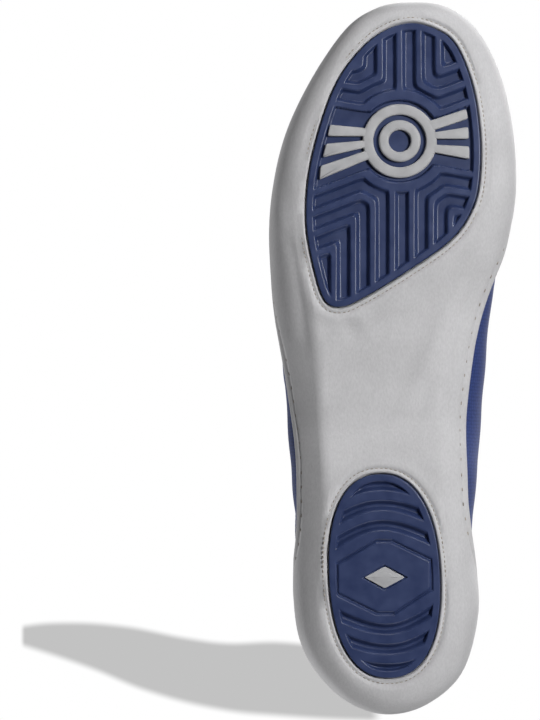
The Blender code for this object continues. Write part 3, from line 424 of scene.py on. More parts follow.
SUEDE = suede_material()
NAVY = rubber_material("navy_rubber_look", (0.021, 0.034, 0.098), (0.032, 0.049, 0.128), 0.33)
GREY = rubber_material("grey_rubber_look", (0.35, 0.35, 0.36), (0.44, 0.44, 0.45), 0.55)
BLUE_MESH = mesh_material("blue_mesh_look", (0.016, 0.03, 0.125), (0.034, 0.062, 0.225), 620.0)
LINING = cloth_material("lining_look", (0.016, 0.023, 0.07), (0.028, 0.04, 0.11))
GREY_LEATHER = leather_material("grey_leather_look", (0.47, 0.46, 0.48), (0.56, 0.55, 0.57))
BLUE_LEATHER = leather_material("blue_leather_look", (0.015, 0.03, 0.14), (0.025, 0.05, 0.2), 0.5)
THREAD = plain_material("thread_look", (0.2, 0.17, 0.14), (0.42, 0.38, 0.33), 0.8, scale=900.0)
PALE_THREAD = plain_material("pale_thread_look", (0.5, 0.5, 0.51), (0.68, 0.68, 0.69), 0.8, scale=900.0)
LACE = plain_material("lace_look", (0.5, 0.5, 0.51), (0.74, 0.74, 0.75), 0.85, scale=1500.0)
METAL = plain_material("metal_look", (0.42, 0.42, 0.44), (0.55, 0.55, 0.57), 0.3, 1.0)
PLASTIC = plain_material("plastic_look", (0.02, 0.02, 0.024), (0.035, 0.035, 0.04), 0.4)
FOAM = plain_material("foam_look", (0.6, 0.6, 0.57), (0.75, 0.75, 0.72), 0.9, scale=1200.0)
BOARD = plain_material("board_look", (0.3, 0.22, 0.14), (0.42, 0.33, 0.22), 0.85, scale=700.0)


# ---------------------------------------------------------------- making pieces

LEAST_HALF = 0.02  # half the thickness of a sheet at its very edge


def piece(name, points, faces, material, nodes=(), body="boot", laid=None):
    """A mesh in millimetres that rides on a body and stands for CAD nodes; laid is its cloth's UV map."""
    mesh = bpy.data.meshes.new(name)
    mesh.from_pydata((np.asarray(points, float) * MM).tolist(), [], [tuple(int(i) for i in f) for f in faces])
    bm = bmesh.new()
    bm.from_mesh(mesh)
    bmesh.ops.recalc_face_normals(bm, faces=bm.faces)
    bm.to_mesh(mesh)
    bm.free()
    mesh.materials.append(material)
    mesh.shade_smooth()
    if laid is not None:
        corners = np.zeros(len(mesh.loops), dtype=np.int32)
        mesh.loops.foreach_get("vertex_index", corners)
        mesh.uv_layers.new(name="cloth").data.foreach_set("uv", (laid[corners] * MM).ravel())
    made = bpy.data.objects.new(name, mesh)
    bpy.context.scene.collection.objects.link(made)
    if body:
        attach(made, body)
    if nodes:
        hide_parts(*nodes)
    return made


def steps_with_edges(low, high, count, rounding):
    """Values from low to high with a few more close to both ends, for a rounded edge."""
    close = np.array([0.0, 0.12, 0.35, 0.7, 1.15]) * rounding
    middle = np.linspace(low + close[-1], high - close[-1], count)[1:-1]
    return np.concatenate([low + close, middle, high - close[::-1]])


def ring_faces(rows, columns):
    """Faces of a grid of points whose rows close on themselves."""
    index = np.arange(rows * columns).reshape(rows, columns)
    after = np.roll(index, -1, axis=1)
    return np.stack([index[:-1], after[:-1], after[1:], index[1:]], axis=-1).reshape(-1, 4).tolist()


def band(low, high):
    """Faces between two closed rings of points."""
    return list(zip(low, np.roll(low, -1), np.roll(high, -1), high))


def fan(ring, centre):
    """Triangles from a closed ring of points to one point."""
    return [(a, b, centre) for a, b in zip(ring, np.roll(ring, -1))]


def solid_sheet(centre, normal, edge_distance, thick):
    """Points and faces of a sheet with rounded edges around a grid of its middle points."""
    rows, columns = centre.shape[:2]
    half = np.maximum(arc(edge_distance, thick / 2) * thick / 2, LEAST_HALF)[..., None]
    points = np.stack([centre + normal * half, centre - normal * half]).reshape(-1, 3)
    n = rows * columns
    grid = np.arange(n).reshape(rows, columns)
    a, b, c, d = grid[:-1, :-1], grid[1:, :-1], grid[1:, 1:], grid[:-1, 1:]
    outer = np.stack([a, b, c, d], axis=-1).reshape(-1, 4)
    ring = np.concatenate([grid[0, :-1], grid[:-1, -1], grid[-1, :0:-1], grid[:0:-1, 0]])
    return points, np.concatenate([outer, outer[:, ::-1] + n, band(ring, ring + n)])


def upper_piece(name, shares, low, high, inner, outer, material, nodes, count=40, ripple=0.0,
                puff=0.0):
    """A piece of the upper between two heights, or counted down from the top where 0 or less."""
    thick = outer - inner
    total = total_lengths(shares)
    low = np.broadcast_to(np.asarray(low, float), len(shares))
    high = np.broadcast_to(np.asarray(high, float), len(shares))
    low = np.where(low < 0, total + low, low)
    high = np.where(high <= 0, total + high, high)
    rows = steps_with_edges(0.0, 100.0, count, 100 * thick / np.median(high - low)) / 100
    heights = low[:, None] + (high - low)[:, None] * rows[None]
    centre, normal = surface(shares, heights)
    along = (shares - shares[0]) * PERIMETER
    side_edge = np.minimum(np.abs(along), np.abs(along[-1] - along))[:, None]
    row_edge = np.minimum(heights - heights[:, :1], heights[:, -1:] - heights)
    offset = (inner + outer) / 2
    if ripple:
        wave = np.sin(heights / 9.0 + shares[:, None] * 61) * np.sin(shares[:, None] * 97 - heights / 23)
        offset = offset + ripple * wave * smooth_step(row_edge / 12) * smooth_step(side_edge / 12)
    if puff:
        offset = offset - puff / 2 * np.sin(np.pi * rows[None]) * np.ones_like(heights)
    centre = centre + normal * (offset[..., None] if np.ndim(offset) else offset)
    points, faces = solid_sheet(centre, normal, np.minimum(side_edge, row_edge), thick)
    laid = np.stack([shares[:, None] * PERIMETER + 0 * heights, heights], axis=-1).reshape(-1, 2)
    return piece(name, points, faces, material, nodes, laid=np.vstack([laid, laid]))


def span(first, last, count, thick=1.2):
    """Shares of the outline between two shares, closer together at both ends."""
    low, high = min(first, last), max(first, last)
    return steps_with_edges(low, high, count, thick / PERIMETER)


def stitches(name, places, ways, normals, length, width, material):
    """A row of short raised threads as one mesh: each a small six-sided spindle."""
    points, faces = [], []
    turns = np.linspace(0, 2 * math.pi, 6, endpoint=False)
    spindle = [*ring_faces(4, 6), range(6), range(18, 24)]
    for place, way, normal in zip(places, ways, normals):
        side = np.cross(normal, way)
        faces += [[len(points) + i for i in face] for face in spindle]
        ring = np.outer(np.cos(turns), side) + np.outer(np.sin(turns), normal)
        for share, size in ((-0.5, 0.35), (-0.25, 1.0), (0.25, 1.0), (0.5, 0.35)):
            points += list(place + way * share * length + ring * width / 2 * size)
    piece(name, points, faces, material, ())


# ---------------------------------------------------------------- suede wrap

PODS = [pod_loop(420), heel_loop(300)]
SEAM_OFFSET, SEAM_PITCH = 2.3, 1.9  # of the seam round each window
EDGE_SEAM_INSET, EDGE_SEAM_PITCH = 3.4, 6.3  # of the seam along the wrap's upper edge
EDGE_SEAMS = (("medial", 0.14, 0.335), ("lateral", 0.88, 0.685))
WINDOW_GAP = 0.15  # between a pod and the suede round it
RELIEF_RINGS = (0.5, 0.9, 1.3, 1.8, 2.3, 2.8, 3.4, 4.4, 5.6)
GRID_STEP, GRID_CLEAR = 2.2, 6.3  # of the flat suede's points, and their distance from a pod


def window_relief(distance):
    """Height of the suede's face round a window: rolled in at the edge, a seam, then a soft welt."""
    rolled = -1.4 * (1 - smooth_step(distance)) + 0.35 * bell(distance, 1.15, 0.55)
    return rolled - 0.55 * bell(distance, SEAM_OFFSET, 0.5) + 0.55 * bell(distance, 4.6, 2.0)


def fold(x, y, start, end, depth, width):
    """A valley along a straight line, fading out at both of its ends."""
    start, end = np.array(start, float), np.array(end, float)
    span = end - start
    length = np.linalg.norm(span)
    along = ((x - start[0]) * span[0] + (y - start[1]) * span[1]) / length**2
    beside = ((x - start[0]) * -span[1] + (y - start[1]) * span[0]) / length
    ends = smooth_step((along + 0.25) / 0.4) * smooth_step((1.25 - along) / 0.4)
    return ends * depth * (0.7 * bell(beside, 2 * width, 1.5 * width) - bell(beside, 0, width))


FOLDS = [
    ((31, -28), (13, 16), 1.0, 2.6), ((24, -6), (16, 30), 0.4, 2.2), ((-16, -11), (-38, -44), 1.0, 2.6),
    ((4, -18), (-18, -10), 0.55, 2.4), ((-39, -60), (-34, -8), 0.6, 2.2), ((8, 24), (-22, 30), 0.3, 2.4),
    ((10, -4), (-14, 6), 0.25, 3.0),
]


def soft_creases(x, y):
    """Shallow folds of the suede, across the waist and round the forefoot; positive is proud."""
    one = np.sin((0.35 * x + y) / 7.5 + 1.2 * np.sin(x / 17))
    two = np.sin((x - 0.5 * y) / 11 + 0.7 * np.sin(y / 13))
    return 0.08 * bell(y, 8, 42) * one + 0.1 * two + sum(fold(x, y, *line) for line in FOLDS)


def away_from_pods(distance):
    """0 along a pod's seam and 1 further out, where the creases are at their full depth."""
    return smooth_step((distance - 3.5) / 5)


def ring_edges(first, count):
    """Edges of a closed ring of points."""
    return [(first + i, first + (i + 1) % count) for i in range(count)]


def nearest_pod(points):
    return np.minimum(*[distance_to(pod, points, True) for pod in PODS])


def make_wrap():
    count, rows = 640, 30
    shares = np.arange(count) / count
    edge = by_side(WRAP_MEDIAL, WRAP_LATERAL, shares, closed_curve(OUTLINE, shares)[:, 1])
    rows_at = steps_with_edges(-2.0, 100.0, rows, 5.0)[5:] / 100
    rows_at = np.concatenate([[0.0], rows_at[rows_at > 0.01]])
    heights = edge[:, None] * rows_at[None]
    middle, normal = surface(shares, heights)
    from_edge = edge[:, None] - heights
    thick, centre = WRAP_OUT - WRAP_IN, (WRAP_IN + WRAP_OUT) / 2
    half = np.maximum(arc(from_edge, thick / 2) * thick / 2, LEAST_HALF)
    x, y = middle[:, :, 0], middle[:, :, 1]
    clear = away_from_pods(nearest_pod(np.column_stack([x.ravel(), y.ravel()])).reshape(heights.shape))
    relief = soft_creases(x, y) * clear * smooth_step(from_edge / 3)
    relief = relief - 0.35 * bell(from_edge, EDGE_SEAM_INSET, 0.7)
    outside = middle + normal * (centre + half + relief)[..., None]
    inner = middle + normal * (centre - half)[..., None]
    # The flat underside: its outline, the two windows, rings of relief round them and an even grid
    flat_loop = meridians(shares)[:, 0, :2]
    points = [Vector(p) for p in flat_loop]
    edges = ring_edges(0, count)
    windows = [pod + outward_of(pod) * WINDOW_GAP for pod in PODS]
    for pod, window in zip(PODS, windows):
        edges += ring_edges(len(points), len(window))
        points += [Vector(p) for p in window]
        for out in RELIEF_RINGS:
            ring = pod + outward_of(pod) * (WINDOW_GAP + out)
            clear = inside_loop(flat_loop, ring) & (distance_to(flat_loop, ring, True) > 0.35)
            points += [Vector(p) for p in ring[clear]]
    across, along = np.arange(-60, 60, GRID_STEP), np.arange(-145, 145, GRID_STEP)
    grid = np.stack(np.meshgrid(across, along), axis=-1).reshape(-1, 2)
    grid = grid[inside_loop(flat_loop, grid)]
    grid = grid[distance_to(flat_loop, grid, True) > 1.2]
    for pod in PODS:
        grid = grid[~inside_loop(pod + outward_of(pod) * GRID_CLEAR, grid)]
    points += [Vector(p) for p in grid]
    vertices, _, triangles, *_ = delaunay_2d_cdt(points, edges, [], 0, 1e-5)
    flat = np.array([tuple(v) for v in vertices])
    triangles = np.array([tuple(t) for t in triangles])
    middles = flat[triangles].mean(axis=1)
    keep = inside_loop(flat_loop, middles)
    for window in windows:
        keep &= ~inside_loop(window, middles)
    triangles = triangles[keep]
    nearest = nearest_pod(flat)
    level = SUEDE_LEVEL + lift(flat[:, 0], flat[:, 1])
    low = level - window_relief(nearest) - soft_creases(flat[:, 0], flat[:, 1]) * away_from_pods(nearest)
    high = np.maximum(level + SUEDE_THICK, low + 0.1)
    outside[:, 0] = np.column_stack([flat_loop, low[:count]])
    inner[:, 0] = np.column_stack([flat_loop, high[:count]])
    columns = outside.shape[1]
    side = count * columns
    extra = len(flat) - count
    all_points = np.concatenate([outside.reshape(-1, 3), np.column_stack([flat[count:], low[count:]]),
                                 inner.reshape(-1, 3), np.column_stack([flat[count:], high[count:]])])
    half_count = side + extra
    place = np.where(np.arange(len(flat)) < count, np.arange(len(flat)) * columns,
                     side + np.arange(len(flat)) - count)
    bottoms = place[triangles]
    here = np.arange(side).reshape(count, columns)
    after = np.roll(here, -1, axis=0)
    quads = np.stack([here[:, :-1], after[:, :-1], after[:, 1:], here[:, 1:]], axis=-1).reshape(-1, 4)
    rim = band(here[:, -1], here[:, -1] + half_count)
    faces = [*bottoms, *(bottoms + half_count)[:, ::-1], *quads, *(quads[:, ::-1] + half_count), *rim]
    borders = {(t[k], t[(k + 1) % 3]) for t in bottoms.tolist() for k in range(3)}
    for a, b in sorted(borders):
        if (b, a) not in borders and not (a < side and b < side):
            faces.append((a, b, b + half_count, a + half_count))
    piece("sole_wrap_look", all_points, faces, SUEDE, ["sole_wrap"])


def window_seams():
    for name, pod in zip(("forefoot", "heel"), PODS):
        ring = pod + outward_of(pod) * SEAM_OFFSET
        loop = np.vstack([ring, ring[:1]])
        run = run_along(loop)
        number = int(run[-1] / SEAM_PITCH)
        where = np.linspace(0, run[-1], number, endpoint=False)
        flat = points_at(loop, run, where)
        ways = unit(np.column_stack([points_at(loop, run, (where + 0.3) % run[-1]) - flat, np.zeros(number)]))
        depth = SUEDE_LEVEL + lift(flat[:, 0], flat[:, 1]) - window_relief(np.full(number, SEAM_OFFSET))
        places = np.column_stack([flat, depth - 0.02])
        normals = np.tile([0.0, 0.0, -1.0], (number, 1))
        stitches(f"{name}_window_thread", places, ways, normals, 1.25, 0.5, THREAD)


def edge_seams():
    """The sparse seam along the wrap's upper edge at the waist, on both sides."""
    for name, first, last in EDGE_SEAMS:
        number = int(abs(last - first) * PERIMETER / EDGE_SEAM_PITCH)
        shares = np.linspace(first, last, number)
        edge = by_side(WRAP_MEDIAL, WRAP_LATERAL, shares, closed_curve(OUTLINE, shares)[:, 1])
        middle, normal = surface(shares, (edge - EDGE_SEAM_INSET)[:, None])
        places = middle[:, 0] + normal[:, 0] * (WRAP_OUT - 0.4)
        ways = unit(np.gradient(places, axis=0))
        stitches(f"{name}_edge_thread", places, ways, normal[:, 0], 1.5, 0.65, THREAD)


# ---------------------------------------------------------------- tread pods

RING_CENTRE = np.array([2.4, -86.5])
RING_RADII, HUB_RADII = (10.5, 14.8), (4.4, 8.4)
PITCH = 7.75
RIM_WIDTH = 3.0
RAY_ROOT = 1.6  # how far a ray runs on into the ring
POD_TOP = 3.3
RAYS = [
    [(-12.2, -91.9), (-12.2, -88.6), (-26.4, -88.4), (-25.4, -93.0)],
    [(-12.2, -86.6), (-11.8, -83.9), (-28.3, -79.9), (-27.1, -85.3)],
    [(-11.4, -82.4), (-9.8, -79.3), (-29.7, -71.0), (-29.2, -76.5)],
    [(14.0, -94.6), (16.0, -90.9), (29.7, -95.4), (28.9, -99.3)],
    [(16.2, -89.9), (16.2, -87.5), (30.0, -87.3), (29.7, -92.1)],
    [(16.0, -84.8), (15.2, -82.0), (30.2, -79.2), (30.1, -84.3)],
]
# Guard lines between the ridges and the ray fans: a point and a second point further out
GUARDS = {(-1, -1): ((-14.3, -99.9), (-23.1, -101.4)), (-1, 1): ((15.9, -96.5), (30.0, -101.9)),
          (1, -1): ((-12.8, -73.2), (-30.9, -66.3)), (1, 1): ((19.8, -75.2), (31.0, -73.2))}
COLLAR_MIDDLE = 18.7
HEXAGON = np.array([(-22.7, 82.0), (-7.2, 72.9), (-0.9, 72.9), (15.0, 80.6), (15.0, 92.1), (0.2, 101.7),
                    (-6.6, 101.7), (-22.7, 93.8)])
HEEL_PITCH, CORNER_SHARPNESS = 7.6, 0.42
BADGE_CENTRE, BADGE_HALF = (-3.6, 87.4), (8.5, 4.6)


def ridge_height(offset, half=0.95, slope=1.6):
    """1 on a ridge, 0 in a groove, from the distance to the ridge's middle line."""
    return 1 - smooth_step((offset - half) / slope)


def soft_least(*values):
    """The least of some distances, with the corners between them rounded."""
    return -np.log(sum(np.exp(-1.4 * np.clip(v, -20, 60)) for v in values)) / 1.4


def forefoot_height(points, rim_distance):
    """Ridges that follow the pivot ring, the ray fans and the pod's long axis."""
    x, y = points[:, 0] - RING_CENTRE[0], points[:, 1] - RING_CENTRE[1]
    radius = np.hypot(x, y)
    height = np.zeros(len(points))
    for (toward, side), (near, far) in GUARDS.items():
        near, far = np.array(near) - RING_CENTRE, np.array(far) - RING_CENTRE
        way = unit(far - near)
        up = np.array([-way[1], way[0]])
        up *= np.sign(up[1] * toward)
        beyond = (np.column_stack([x, y]) - near) @ up
        here = (np.where(y >= 0, 1, -1) == toward) & (np.where(x >= 0, 1, -1) == side)
        beside = np.abs(x) if toward < 0 else np.abs(x - 0.9) - PITCH / 2
        around = radius - COLLAR_MIDDLE
        if (toward, side) == (-1, 1):
            around = np.where(radius > 21.5, 0.488 * x - 0.873 * y - 15.9, around)
        d = soft_least(beside, around, beyond)
        family = ridge_height(np.abs(d - np.maximum(np.round(d / PITCH), 0) * PITCH))
        collar = ridge_height(np.abs(radius - 18.5), 1.7, 1.2) * smooth_step((beyond + 1.6) / 1.2)
        height = np.where(here, np.maximum(family, collar), height)
        height = np.where(here & (beyond < -1.2), np.minimum(height, -0.3), height)
    height = np.where(radius < 16.2, -0.3, height)
    return np.maximum(height, rim_height(rim_distance))


def rim_height(rim_distance):
    return 1 - smooth_step(rim_distance - RIM_WIDTH + 0.4)


def beyond_sides(points):
    """How far places are outside the plate's sides, with the corners rounded."""
    sides = np.roll(HEXAGON, -1, axis=0) - HEXAGON
    outward = unit(np.column_stack([sides[:, 1], -sides[:, 0]]))
    outward *= np.sign(((HEXAGON - np.mean(HEXAGON, axis=0)) * outward).sum(axis=1))[:, None]
    reach = ((points[:, None] - HEXAGON) * outward).sum(axis=2)
    return np.log(np.exp(CORNER_SHARPNESS * reach).sum(axis=1)) / CORNER_SHARPNESS


def heel_height(points, rim_distance):
    """A flat six-sided plate and ridges that follow its sides toward both ends."""
    outside = beyond_sides(points)
    groove = np.abs(outside - HEEL_PITCH - np.maximum(np.round(outside / HEEL_PITCH - 1), 0) * HEEL_PITCH)
    height = smooth_step((groove - 0.3) / 2.0)
    height = np.where(outside < 0.8, 1.0, height)
    height = height - 0.45 * bell(distance_to(HEXAGON, points, True), 0, 0.5)
    return np.maximum(height, rim_height(rim_distance))


def make_pod(name, loop, centre, height_of, stands_for, layers, pocket=None):
    """A rubber pod as a fine relief: rings of points from its outline in to a centre."""
    count = len(loop)
    close = np.array([0.0, 0.003, 0.007, 0.012, 0.018])
    shares = np.concatenate([close, np.linspace(0.024, 0.985, layers)])
    grid = loop[None] + (np.array(centre) - loop)[None] * shares[:, None, None]
    flat = grid.reshape(-1, 2)
    rim = distance_to(loop, flat, True)
    z = GROOVE_DEPTH * (1 - height_of(flat, rim)) + 0.5 * (1 - arc(rim, 0.5))
    if pocket is not None:
        z = np.where(inside_loop(pocket, flat), 1.0, z)
    z = z + lift(flat[:, 0], flat[:, 1])
    low = np.column_stack([flat, z])
    n = len(flat)
    middle = np.array([[*centre, z[-count:].mean()]])
    walls = np.column_stack([loop, POD_TOP + lift(loop[:, 0], loop[:, 1])])
    top = np.array([[*centre, POD_TOP + float(lift(*centre))]])
    points = np.concatenate([low, middle, walls, top])
    first = np.arange(count)
    wall = n + 1 + first
    faces = ring_faces(len(shares), count) + fan(n - count + first, n)
    faces += band(wall, first) + fan(wall, n + 1 + count)
    piece(name, points, faces, NAVY, [stands_for])


def rounded_slab(loop, low, high, rounding):
    """Points and faces of a slab with a rounded lower edge, as rings from the wall in to a centre."""
    loop = np.array(loop, float)
    out = outward_of(loop)
    turns = np.linspace(0, math.pi / 2, 5)
    rings = [np.column_stack([loop, np.full(len(loop), high)])]
    for turn in turns:
        inset, up = rounding * (1 - math.cos(turn)), rounding * (1 - math.sin(turn))
        rings.append(np.column_stack([loop - out * inset, np.full(len(loop), low + up)]))
    centre = loop.mean(axis=0)
    points = np.concatenate([*rings, [[*centre, low], [*centre, high]]])
    count = len(loop)
    first, n = np.arange(count), len(rings) * count
    return points, [*ring_faces(len(rings), count), *fan(first + n - count, n), *fan(first, n + 1)]


def rounded_corners(corners, rounding):
    """A polygon with rounded corners and short edges."""
    corners = np.array(corners, float)
    loop = []
    for i in range(len(corners)):
        before, here, after = corners[i - 1], corners[i], corners[(i + 1) % len(corners)]
        a, b = here + unit(before - here) * rounding, here + unit(after - here) * rounding
        for t in np.linspace(0, 1, 5):
            loop.append((1 - t) ** 2 * a + 2 * (1 - t) * t * here + t**2 * b)
    return np.array(loop)


def lathe(profile, turns):
    """Points and faces of a closed (radius, height) profile turned about Z."""
    angles = np.linspace(0, 2 * math.pi, turns, endpoint=False)
    points = [(r * math.cos(a), r * math.sin(a), h) for a in angles for r, h in profile]
    m = len(profile)
    faces = [
        (i * m + j, i * m + (j + 1) % m, ((i + 1) % turns) * m + (j + 1) % m, ((i + 1) % turns) * m + j)
        for i in range(turns) for j in range(m)
    ]
    return np.array(points), faces


def ring_profile(inner, outer, low, high, rounding):
    turns = np.linspace(0, math.pi / 2, 5)
    edge = [(rounding * (1 - math.cos(t)), low + rounding * (1 - math.sin(t))) for t in turns]
    within, without = [(inner + r, h) for r, h in edge], [(outer - r, h) for r, h in edge[::-1]]
    return [(inner, high), *within, *without, (outer, high)]


def joined(shapes):
    points, faces, first = [], [], 0
    for shape_points, shape_faces in shapes:
        points.append(shape_points)
        faces += [tuple(first + i for i in f) for f in shape_faces]
        first += len(shape_points)
    return np.concatenate(points), faces


def make_tread():
    make_pod("forefoot_pod_look", pod_loop(600), (2.4, -86.5), forefoot_height, "forefoot_pod", 155)
    pocket = np.array(diamond(0.35))
    make_pod("heel_pod_look", heel_loop(520), (-3.7, 87.0), heel_height, "heel_pod", 130, pocket)
    low, high = 0.0, GROOVE_DEPTH + 0.4
    shapes = []
    ring = lathe(ring_profile(*RING_RADII, low, high, 0.8), 160)
    shapes.append((ring[0] + [*RING_CENTRE, 0], ring[1]))
    for corners in RAYS:
        toward = unit(RING_CENTRE - np.mean(corners, axis=0)) * RAY_ROOT
        corners = [np.array(c) + (toward if k < 2 else 0) for k, c in enumerate(corners)]
        shapes.append(rounded_slab(rounded_corners(corners, 0.9), low + 0.004, high, 0.55))
    points, faces = joined(shapes)
    points[:, 2] += lift(points[:, 0], points[:, 1])
    piece("pivot_ring_outer_look", points, faces, GREY, ["pivot_ring_outer"])
    hub = lathe(ring_profile(*HUB_RADII, low, high, 0.95), 128)
    points = hub[0] + [*RING_CENTRE, 0]
    points[:, 2] += lift(points[:, 0], points[:, 1])
    piece("pivot_ring_inner_look", points, hub[1], GREY, ["pivot_ring_inner"])
    outer = rounded_slab(rounded_corners(diamond(-0.2), 0.6), 0.05, 0.95, 0.25)
    inner = rounded_slab(rounded_corners(diamond(-1.6), 0.4), 0.0, 0.9, 0.2)
    points, faces = joined([outer, inner])
    piece("heel_badge_look", points, faces, GREY, ["heel_badge"])


def diamond(grow):
    cx, cy = BADGE_CENTRE
    hx, hy = BADGE_HALF[0] + grow * 2, BADGE_HALF[1] + grow * 1.1
    return [(cx - hx, cy), (cx, cy - hy), (cx + hx, cy), (cx, cy + hy)]


# ---------------------------------------------------------------- inside of the sole

def make_inside():
    """Board, shank, puff, counter and aglets keep their CAD shapes; the soft layers get rounded edges."""
    for name, material in (("shank", PLASTIC), ("lasting_board", BOARD), ("toe_puff", PLASTIC),
                           ("heel_counter", PLASTIC), ("aglet_1", PLASTIC), ("aglet_2", PLASTIC)):
        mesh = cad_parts[name].data
        mesh.materials.clear()
        mesh.materials.append(material)
    shares = np.arange(220) / 220
    loop = meridians(shares)[:, 0, :2]
    loop = loop - outward_of(loop) * 0.5
    front, heel = loop[loop[:, 1] < -31.0], loop[loop[:, 1] > 45.0]
    level = BODY_LEVEL + 0.3
    soft_layer("midsole_forefoot_look", front, level, level + 2.8, FOAM, "midsole_forefoot")
    soft_layer("midsole_heel_look", heel, level, level + 2.8, FOAM, "midsole_heel")
    level += 2.8 + 0.5 + 1.2 + 0.5
    soft_layer("sockliner_look", loop, level, level + 3.0, LINING, "sockliner")


def soft_layer(name, loop, low, high, material, stands_for):
    """A layer under the foot: flat below, its upper edge rounded, following the sole's lift."""
    centre = loop.mean(axis=0)
    shares = np.array([0.0, 0.005, 0.012, 0.022, 0.04, 0.08, 0.16, 0.3, 0.45, 0.6, 0.75, 0.9])
    rings = loop[None] + (centre - loop)[None] * shares[:, None, None]
    top = high - 1 + arc(np.linalg.norm(rings - loop[None], axis=2), 1.2)
    raised = lift(rings[..., 0], rings[..., 1])
    count, layers = len(loop), len(shares)
    upper = np.concatenate([rings, (top + raised)[..., None]], axis=2).reshape(-1, 3)
    lower = np.concatenate([rings, (low + raised)[..., None]], axis=2).reshape(-1, 3)
    middle = lift(*centre)
    points = np.vstack([upper, lower, [[*centre, high + middle], [*centre, low + middle]]])
    n, quads = count * layers, ring_faces(layers, count)
    first = np.arange(count)
    last = first + n - count
    faces = [*quads, *(np.array(quads) + n), *band(first, first + n)]
    faces += fan(last, 2 * n) + fan(last + n, 2 * n + 1)
    piece(name, points, faces, material, [stands_for])


# ---------------------------------------------------------------- upper

def throat_at(share):
    """Frame of the throat at one share: middle, way across, way out, way along and half width."""
    steps = np.array([share + 0.004, share, share - 0.004])
    medial, lateral = meridians(steps)[:, -1], meridians(1 - steps)[:, -1]
    middle = (medial + lateral) / 2
    across = medial[1] - lateral[1]
    half = np.linalg.norm(across) / 2
    across /= 2 * half
    along = unit(middle[2] - middle[0])
    return middle[1], across, unit(np.cross(across, along)), along, half


def crown(r, half):
    return np.sqrt(THROAT_RADIUS**2 - np.asarray(r) ** 2) - math.sqrt(THROAT_RADIUS**2 - half**2)


def make_upper():
    side, stay = span(0.0006, VAMP_SHARE - 0.0004, 150), span(*THROAT_SHARES, 90)
    for name, shares in (("medial", side), ("lateral", 1 - side)):
        upper_piece(f"quarter_{name}_look", shares, 1.0, 0, -1.2, 0.0, BLUE_MESH, [f"quarter_{name}"],
                    90, 0.35)
    vamp = span(VAMP_SHARE - 0.002, 1 - VAMP_SHARE + 0.002, 120)
    upper_piece("vamp_look", vamp, 1.0, 0, -0.9, 0.25, BLUE_MESH, ["vamp"], 70, 0.2)
    collar = span(-0.2, 0.2, 110, 4)
    padding = upper_piece("collar_padding_look", collar, -62.0, -3.0, -6.4, -2.0, FOAM, ["collar_padding"],
                          24, 0.0, 1.0)
    upper_piece("collar_lining_look", collar, -66.0, -1.5, -8.2, -6.9, LINING, ["collar_lining"],
                30, 0.3)
    binding = span(-0.215, 0.215, 150)
    upper_piece("collar_binding_look", binding, -4.0, 0, -8.0, 0.9, GREY_LEATHER, [], 14)
    quilt = span(-0.185, 0.185, 200)
    for number, drop in enumerate((-17.0, -20.0)):
        seam_on_upper(f"collar_thread_{number + 1}", quilt, np.full(len(quilt), drop), 0.15)
    back = span(-0.0145, 0.0145, 14)
    upper_piece("backstay_look", back, 30.0, -24.5, 0.1, 1.4, GREY_LEATHER, ["backstay"], 60)
    for name, sign in (("medial", 1), ("lateral", -1)):
        shares = stay if sign > 0 else 1 - stay
        taper = EYESTAY_WIDTH * (1 - 0.35 * smooth_step((stay - 0.36) / 0.08))
        upper_piece(f"eyestay_{name}_look", shares, -taper, 0, 0.05, 1.35, GREY_LEATHER, [f"eyestay_{name}"],
                    16)
        seam_on_upper(f"eyestay_{name}_thread", shares[4:-4], -(taper[4:-4] - 2.2), 1.4)
        seam_on_upper(f"eyestay_{name}_inner_thread", shares[4:-4], np.full(len(stay) - 8, -2.2), 1.4)
        vamp_share = VAMP_SHARE if sign > 0 else 1 - VAMP_SHARE
        rows = np.linspace(24, total_lengths(np.array([vamp_share]))[0] - 20, 60)
        seam_up(f"vamp_{name}_thread", vamp_share + sign * 0.0018, rows, 0.3)


def seam_up(name, share, heights, offset):
    middle, normal = surface(np.array([share]), heights[None])
    seam_along(name, middle[0] + normal[0] * offset, normal[0])


def seam_on_upper(name, shares, from_top, offset):
    total = total_lengths(shares)
    middle, normal = surface(shares, (total + from_top)[:, None])
    seam_along(name, middle[:, 0] + normal[:, 0] * offset, normal[:, 0])


def seam_along(name, line, normals, pitch=2.6):
    run = run_along(line)
    where = np.arange(pitch / 2, run[-1], pitch)
    places = points_at(line, run, where)
    ways = points_at(line, run, where + 0.4) - places
    ways /= np.maximum(np.linalg.norm(ways, axis=1)[:, None], 1e-6)
    stitches(name, places, ways, points_at(normals, run, where), 1.9, 0.55, PALE_THREAD)


def eyelet_frames(side):
    shares = np.linspace(EYELET_SHARES[1], EYELET_SHARES[0], EYELET_ROWS)
    shares = shares if side > 0 else 1 - shares
    places, ways = surface(shares, (total_lengths(shares) - EYELET_INSET)[:, None])
    return places[:, 0], ways[:, 0]


def make_eyelets():
    profile = [(1.9, -1.4), (2.4, -1.4), (2.4, 1.2), (3.7, 1.35), (3.85, 1.6), (3.6, 2.0), (2.9, 2.25),
               (2.2, 2.0), (1.9, 1.4)]
    shape, faces = lathe(profile, 28)
    for word, side in (("medial", 1), ("lateral", -1)):
        places, ways = eyelet_frames(side)
        for row in range(EYELET_ROWS):
            turn = Vector(ways[row]).to_track_quat("Z", "Y").to_matrix()
            points = shape @ np.array(turn).T + places[row]
            eyelet = f"eyelet_{word}_{row + 1}"
            piece(f"{eyelet}_look", points, faces, METAL, [eyelet])


